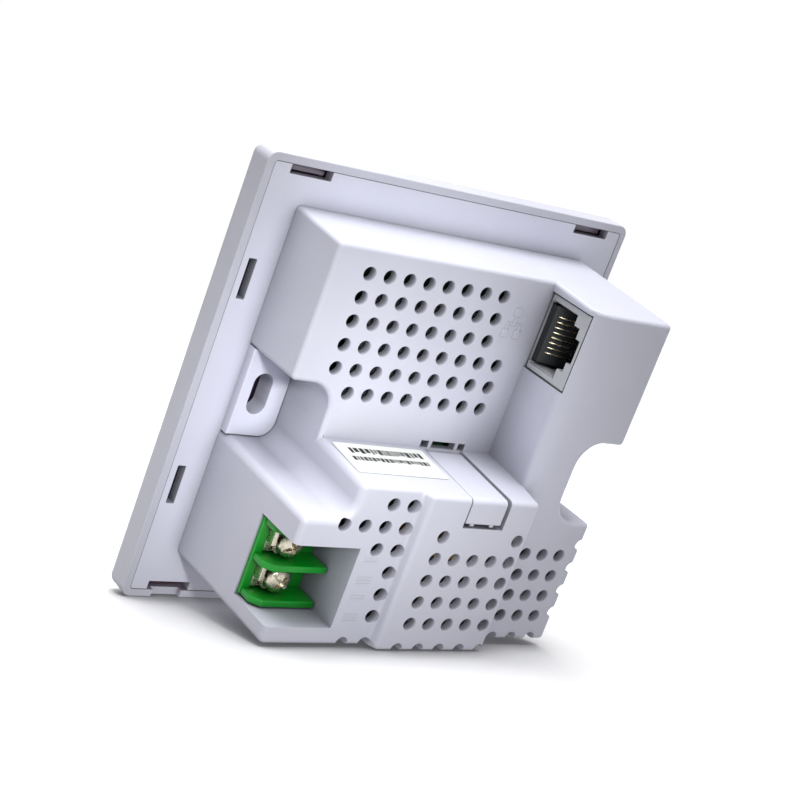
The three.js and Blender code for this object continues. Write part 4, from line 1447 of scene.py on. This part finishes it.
@dataclass
class NetworkJack:
    """An eight-pin jack in its own frame: X into it, Y to the latch side, Z across."""

    name: str
    springs: Body
    basis: Matrix
    depth: float
    foot: float = 0.0
    width: float = 14.0
    height: float = 11.1
    floor: float = 0.9
    mouth: tuple[Point2, ...] = ((12.3, 7.6), (8.7, 9.4), (4.7, 10.6))
    mouth_depth: float = 12.4
    lip_width: float = 11.9
    lip_depth: float = 2.4
    pitch: float = 1.02

    def shell(self, book: FinishBook) -> None:
        """Builds the moulded shell with its stepped mouth and a rib on each side of the mouth.

        Args:
            book: The finishes.
        """
        half = self.width / 2
        shell = Workpiece.block((0, 0, -half), (self.depth, self.height, half))
        if self.foot:
            shell.join(Workpiece.block((2.2, -self.foot, -half), (self.depth, 0.2, half)))
        shell.clean()
        shell.round_edges(outside(0.25), 3)
        outline: list[Point2] = [(self.floor, -self.mouth[0][0] / 2)]
        for wide, high in self.mouth:
            outline += [(outline[-1][0], -wide / 2), (high, -wide / 2)]
        outline = outline[1:]
        outline += [(y, -z) for y, z in reversed(outline)]
        mouth = Workpiece.prism(Axis.X, outline, -1, self.mouth_depth)
        wide, high = self.mouth[0]
        low, high, side = self.floor - 0.25, high + 0.2, wide / 2 + 0.25
        flare = Workpiece.prism(Axis.X, [(low, -side), (high, -side), (high, side), (low, side)], -1, 0.35)
        half = self.lip_width / 2
        lip = Workpiece.block((-1, 0.12, -half), (self.lip_depth, self.floor + 0.2, half))
        shell.cut(mouth, flare, lip)
        shell.move(self.basis)
        shell.finish(f"{self.name}_shell", Body.ROOT, Slot.JACK, book.jack, [f"{self.name}_jack"])

    def contacts(self, book: FinishBook) -> None:
        """Builds the eight sprung wires and the bar they are rooted in.

        Args:
            book: The finishes.
        """
        route = [(1.25, 1.5), (1.5, 1.62), (2.0, 2.05), (3.2, 2.75), (4.8, 3.35), (6.4, 3.85), (7.4, 4.05),
                 (7.85, 3.98), (8.0, 3.75)]
        bar = Workpiece.block((1.0, 1.22, -3.7), (1.6, 1.6, 3.7))
        bar.round_edges(outside(0.1), 2)
        for index in range(8):
            z = (index - 3.5) * self.pitch
            append(bar, Workpiece.wire([Vector((x, y, z)) for x, y in route], (0.17, 0.24)))
        bar.move(self.basis)
        bar.finish(f"{self.name}_springs", self.springs, Slot.GOLD, book.gold,
                   [f"{self.name}_contacts"], 50)

    def comb(self, book: FinishBook) -> None:
        """Builds the slotted comb behind the contacts.

        Args:
            book: The finishes.
        """
        profile = [(0.5, 0.2), (2.3, 0.2), (2.3, 1.0), (12.1, 1.0), (12.1, 5.2), (8.6, 5.2), (1.9, 2.5),
                   (0.5, 1.7)]
        comb = Workpiece.prism(Axis.Z, profile, -5.6, 5.6)
        comb.round_edges(outside(0.12), 2)
        slot = [(1.3, 1.3), (1.3, 7), (10.4, 7), (10.4, 3.2), (8.4, 2.4), (2.2, 1.3)]
        comb.cut(Workpiece.block((0.95, 1.15, -3.8), (1.75, 1.65, 3.8)))
        for index in range(8):
            z = (index - 3.5) * self.pitch
            comb.cut(Workpiece.prism(Axis.Z, slot, z - 0.24, z + 0.24))
        comb.move(self.basis)
        comb.finish(f"{self.name}_comb", Body.ROOT, Slot.BLACK, book.black, [f"{self.name}_contact_comb"])

    def build(self, book: FinishBook) -> None:
        """Builds and dresses the jack.

        Args:
            book: The finishes.
        """
        self.shell(book)
        self.contacts(book)
        self.comb(book)


@dataclass
class WallPanel:
    """The base frame that bears on the wall, and the cover clipped over it."""

    half: float = 43.0
    depth: float = 6.0
    corner: float = 2.0
    soft: float = 1.6
    rim: float = 1.5
    skin: float = 1.6
    gap: float = 0.08
    snap_x: float = 33.6
    snap_z: float = 20.0
    side_snap: float = 39.3
    catch_z: float = 41.2
    tongue_z: float = 40.45
    tongue_y: Point2 = (-4.6, -2.3)
    screw_x: float = 30.15
    slot_half: Point2 = (2.0, 4.0)
    opening: Point2 = (22.2, 29.5)
    lan_z: float = -17.5
    lan_half: Point2 = (7.3, 5.85)
    button: Point2 = (15.5, -17.5)
    light: Point2 = (0.0, 24.0)

    def cover(self, book: FinishBook) -> None:
        """Builds the cover: a shallow tray with soft edges and clip tongues.

        Args:
            book: The finishes.
        """
        steps, soft = 14, self.soft
        rings = [(0.24, 0.0), (0.12, -0.03), (0.03, -0.12), (0.0, -0.24), (0.0, -self.depth + soft)]
        rings += [(soft * (1 - math.cos(t)), -self.depth + soft - soft * math.sin(t))
                  for t in map(math.radians, (15, 30, 45, 60, 75, 90))]
        verts: list[Point3] = []
        for inset, y in rings:
            half = self.half - inset
            radius = max(self.corner - inset, 0.4)
            verts += [(x, y, z) for x, z in rounded_box(-half, half, -half, half, radius, steps)]
        n = 4 * (steps + 1)
        faces = [[r * n + i, r * n + (i + 1) % n, (r + 1) * n + (i + 1) % n, (r + 1) * n + i]
                 for r in range(len(rings) - 1) for i in range(n)]
        faces += [list(range(n)), [(len(rings) - 1) * n + i for i in range(n)]]
        tray = Workpiece(verts, faces)
        inner = self.half - self.rim
        tray.cut(Workpiece.pad((-inner, inner), (-inner, inner), (-self.depth + self.skin, 1), 0.7, steps))
        low, high = self.tongue_y
        for sx in (-1, 1):
            for sz in (-1, 1):
                x, z = sx * self.snap_x, sz * self.tongue_z
                tray.join(Workpiece.block((x - 4.1, low, z - 0.5), (x + 4.1, high, z + 0.5)))
                x, z = sx * self.side_snap, sz * self.snap_z
                tray.join(Workpiece.block((x - 0.5, low, z - 3.5), (x + 0.5, high, z + 3.5)))
            x = sx * self.snap_x
            tray.cut(Workpiece.pad((x - 3.1, x + 3.1), (-45, -self.half + 1.7), (-1.2, 1), 0.5, 4))
        mouth = (self.lan_z - self.lan_half[1], self.lan_z + self.lan_half[1])
        tray.cut(Workpiece.pad((-self.lan_half[0], self.lan_half[0]), mouth, (-7, 0), 0.5, 6),
                 Workpiece.turned([(*self.button, [(1.4, -4), (1.4, -5.8), (1.7, -6.1), (1.7, -7)])]),
                 Workpiece.turned([(*self.light, [(1.6, -4), (1.6, -5.8), (1.9, -6.1), (1.9, -7)])]))
        tray.finish("cover_tray", Body.COVER, Slot.COVER, book.cover, ["front_cover"], 40)

    def boss(self, housing: RearHousing, side: int) -> Workpiece:
        """The raised boss that a box screw bears on.

        Args:
            housing: The housing whose pocket it stands in.
            side: 1 for the terminal side, -1 for the tower side.

        Returns:
            The boss.
        """
        x0, half, radius = housing.pocket_x - 0.03, housing.pocket_half + 0.03, housing.pocket_corner + 0.03
        foot = housing.pocket_foot if side > 0 else housing.pocket_corner
        outline = [(housing.half_x - 0.1, half), *arc((x0 + radius, half - radius), radius, 90, 180, 12),
                   *arc((x0 + foot, foot - half), foot, 180, 270, 12), (housing.half_x - 0.1, -half)]
        boss = Workpiece.prism(Axis.Y, [(side * x, z) for x, z in outline], -0.6, 2.2)
        return boss.round_edges(outside(0.3, 40, 1), 4)

    def base(self, housing: RearHousing, book: FinishBook) -> None:
        """Builds the base frame with its bosses, screw slots and clip slots.

        Args:
            housing: The housing that stands on it.
            book: The finishes.
        """
        edge = self.half - self.rim - self.gap
        plate = Workpiece.pad((-edge, edge), (-edge, edge), (-2, 0), 0.6, 8)
        plate.round_edges(outside(0.16, 60, -0.1), 2)
        wide, tall = self.opening
        plate.cut(Workpiece.block((-wide, -3, -tall), (wide, 1, tall)))
        plate.join(self.boss(housing, 1), self.boss(housing, -1))
        wide, tall = self.slot_half
        through = (-3, 1)
        for sx in (-1, 1):
            x = sx * self.screw_x
            plate.cut(Workpiece.pad((x - wide, x + wide), (-tall, tall), (-3, 3), 1.98, 10))
            for sz in (-1, 1):
                x, z = sx * self.snap_x, sz * self.catch_z
                low, high = sorted((z + 0.4 * sz, z - 1.5 * sz))
                plate.cut(Workpiece.pad((x - 4.4, x + 4.4), (low, high), through, 0.2, 3))
                x, z = sx * self.side_snap, sz * self.snap_z
                plate.cut(Workpiece.pad((x - 0.85, x + 0.85), (z - 3.8, z + 3.8), through, 0.2, 3))
        plate.finish("base_plate", Body.ROOT, Slot.SHELL, book.frame, ["base_frame"])

    def controls(self, book: FinishBook) -> None:
        """Builds the domed reset button and the domed light pipe in the cover.

        Args:
            book: The finishes.
        """
        x, z = self.button
        rod = Workpiece.turned([(x, z, [(0.5, -5.8), (0.95, -5.72), (1.1, -5.5), (1.1, -4.2), (1.7, -4.1),
                                        (1.9, -3.9), (1.9, -3.3), (1.7, -3.1), (1.1, -3.05), (1.1, 4.6),
                                        (0.95, 4.7)])])
        rod.finish("reset_key", Body.BUTTON, Slot.COVER, book.cover, ["reset_button"], 50)
        x, z = self.light
        pipe = Workpiece.turned([(x, z, [(0.5, -6.0), (1.0, -5.93), (1.3, -5.65), (1.3, -4.2), (1.8, -4.1),
                                         (2.0, -3.9), (2.0, -3.3), (1.8, -3.1), (1.3, -3.05), (1.3, 7.3),
                                         (1.1, 7.5)])])
        pipe.finish("light_guide", Body.COVER, Slot.CLEAR, book.clear, ["light_pipe"], 50)

    def build(self, housing: RearHousing, book: FinishBook) -> None:
        """Builds and dresses the panel.

        Args:
            housing: The housing that stands on it.
            book: The finishes.
        """
        self.cover(book)
        self.base(housing, book)
        self.controls(book)


@dataclass
class Boards:
    """The boards inside and what they carry, whose CAD shapes are kept and dressed."""

    edge: float = 0.15

    def build(self, book: FinishBook) -> None:
        """Dresses every inside piece.

        Args:
            book: The finishes.
        """
        dress = {
            "main_board": book.board, "power_board": book.board, "board_link": book.black,
            "radio_shield": book.steel, "processor": book.black, "line_transformer": book.black,
            "heat_spreader": book.aluminium, "antenna_1": book.steel, "antenna_2": book.steel,
            "transformer_core": book.ferrite, "transformer_winding": book.tape,
            "capacitor_1": book.sleeve, "capacitor_2": book.sleeve, "bridge_rectifier": book.black,
            "fuse": book.ceramic, "status_led": book.ceramic, "reset_switch": book.black,
        }
        for index in range(1, 5):
            dress[f"board_screw_{index}"] = book.steel
            dress[f"housing_screw_{index}"] = book.steel
        for name, material in dress.items():
            carry_over(name, material, self.edge if "board" not in name else 0.0)


# ------------------------------------------------------------------ studio


@dataclass
class Studio:
    """The floor, the lights and the camera."""

    focal: float = 81.3865
    sensor: float = 36.0
    eye: Point3 = (211.9, 248.1, 99.0)
    right: Point3 = (-0.7731, 0.5363, 0.3385)
    up: Point3 = (0.0920, -0.4333, 0.8965)
    back: Point3 = (0.6275, 0.7243, 0.2857)
    floor_front: float = -43.0
    floor_back: Point2 = (33.1, -33.8)
    floor_drop: float = 0.03
    floor_size: float = 4.0
    fill: float = 0.365
    fill_lean: Point3 = (0.02, 0.07, 0.13)
    backdrop: float = 1.02
    overhead_power: float = 3.0
    overhead_spread: float = 45.0
    overhead_from: Point3 = (30.0, -220.0, 970.0)
    lamp_power: float = 5.5
    lamp_radius: float = 0.03
    lamp_cone: float = 14.5
    lamp_from: Point3 = (150.0, 330.0, 160.0)
    lamp_aim: Point3 = (19.0, 12.0, 1.0)
    front_power: float = 1.1
    front_size: float = 0.3
    front_from: Point3 = (-150.0, -500.0, 200.0)

    def camera(self) -> None:
        """Makes the camera."""
        data = bpy.data.cameras.new("view")
        data.lens, data.sensor_width = self.focal, self.sensor
        data.clip_start, data.clip_end = 0.01, 20
        item = bpy.data.objects.new("view", data)
        turn = Matrix((self.right, self.up, self.back)).transposed()
        item.matrix_world = Matrix.Translation(Vector(self.eye) * MM) @ turn.to_4x4()
        bpy.context.scene.collection.objects.link(item)
        bpy.context.scene.camera = item

    def floor(self, book: FinishBook) -> None:
        """Makes the floor that the cover's lower edge and the body's deep edge stand on.

        Args:
            book: The finishes.
        """
        slope = (self.floor_back[1] - self.floor_front) / self.floor_back[0]
        half = self.floor_size / 2
        corners = []
        for x, y in ((-half, -half), (half, -half), (half, half), (-half, half)):
            corners.append((x, y, (self.floor_front - self.floor_drop) * MM + slope * y))
        mesh = bpy.data.meshes.new("floor")
        mesh.from_pydata(corners, [], [(0, 1, 2, 3)])
        mesh.materials.append(book.floor)
        item = bpy.data.objects.new("floor", mesh)
        item.visible_diffuse = item.visible_shadow = False
        bpy.context.scene.collection.objects.link(item)

    def light(self, data: bpy.types.Light, place: Point3, aim: Point3) -> None:
        """Puts a light in the scene, out of the camera's sight.

        Args:
            data: The light.
            place: Where it stands, in millimetres.
            aim: The point it faces, in millimetres.
        """
        item = bpy.data.objects.new(data.name, data)
        item.location = Vector(place) * MM
        item.rotation_euler = (Vector(aim) - Vector(place)).to_track_quat("-Z", "Y").to_euler()
        item.visible_camera = False
        bpy.context.scene.collection.objects.link(item)

    def overhead(self) -> None:
        """Makes the broad light from above."""
        data = bpy.data.lights.new("overhead", "SUN")
        data.energy, data.angle = self.overhead_power, math.radians(self.overhead_spread)
        self.light(data, self.overhead_from, (0, 0, 0))

    def side_lamp(self) -> None:
        """Makes the soft lamp from the near left, whose edge falls across the body."""
        data = bpy.data.lights.new("side_lamp", "SPOT")
        data.energy, data.shadow_soft_size = self.lamp_power, self.lamp_radius
        data.spot_size, data.spot_blend = math.radians(self.lamp_cone), 1.0
        self.light(data, self.lamp_from, self.lamp_aim)

    def front_lamp(self) -> None:
        """Makes the soft square lamp that lights the room side of the cover."""
        data = bpy.data.lights.new("front_lamp", "AREA")
        data.size, data.energy = self.front_size, self.front_power
        self.light(data, self.front_from, (0, 0, 0))

    def world(self) -> None:
        """Makes plain surroundings, white to the eye, whose fill is stronger on one side."""
        world = bpy.data.worlds.new("surroundings")
        world.use_nodes = True
        tree = world.node_tree
        shown = tree.nodes["Background"]
        shown.inputs["Color"].default_value = (1, 1, 1, 1)
        shown.inputs["Strength"].default_value = self.backdrop
        place = tree.nodes.new("ShaderNodeTexCoord")
        lean = tree.nodes.new("ShaderNodeVectorMath")
        lean.operation = "DOT_PRODUCT"
        lean.inputs[1].default_value = self.fill_lean
        amount = tree.nodes.new("ShaderNodeMath")
        amount.operation = "ADD"
        amount.inputs[1].default_value = self.fill
        amount.use_clamp = True
        soft = tree.nodes.new("ShaderNodeBackground")
        soft.inputs["Color"].default_value = (0.985, 0.985, 1.0, 1)
        mix = tree.nodes.new("ShaderNodeMixShader")
        path = tree.nodes.new("ShaderNodeLightPath")
        tree.links.new(place.outputs["Generated"], lean.inputs[0])
        tree.links.new(lean.outputs["Value"], amount.inputs[0])
        tree.links.new(amount.outputs[0], soft.inputs["Strength"])
        tree.links.new(path.outputs["Is Camera Ray"], mix.inputs[0])
        tree.links.new(soft.outputs[0], mix.inputs[1])
        tree.links.new(shown.outputs[0], mix.inputs[2])
        tree.links.new(mix.outputs[0], tree.nodes["World Output"].inputs[0])
        bpy.context.scene.world = world

    def build(self, book: FinishBook) -> None:
        """Sets up the studio.

        Args:
            book: The finishes.
        """
        self.camera()
        self.floor(book)
        self.world()
        self.overhead()
        self.side_lamp()
        self.front_lamp()
        bpy.context.scene.view_settings.view_transform = "Standard"


def main() -> None:
    """Builds the access point and the studio, and reports each piece."""
    logging.basicConfig(level=logging.INFO, format="%(name)s: %(message)s")
    book = FinishBook.make()
    housing = RearHousing()
    Studio().build(book)
    housing.build(book)
    SnapLatch().build(housing, book)
    RatingLabel().build(housing, book)
    ScrewTerminal().build(book)
    NetworkJack("wan", Body.WAN_SPRINGS, WAN_PLACE, depth=15.7, foot=4.7, width=14.9).build(book)
    NetworkJack("lan", Body.LAN_SPRINGS, LAN_PLACE, depth=14.5).build(book)
    WallPanel().build(housing, book)
    Boards().build(book)
    LOG.info("all pieces made")


if __name__ == "__main__":
    main()
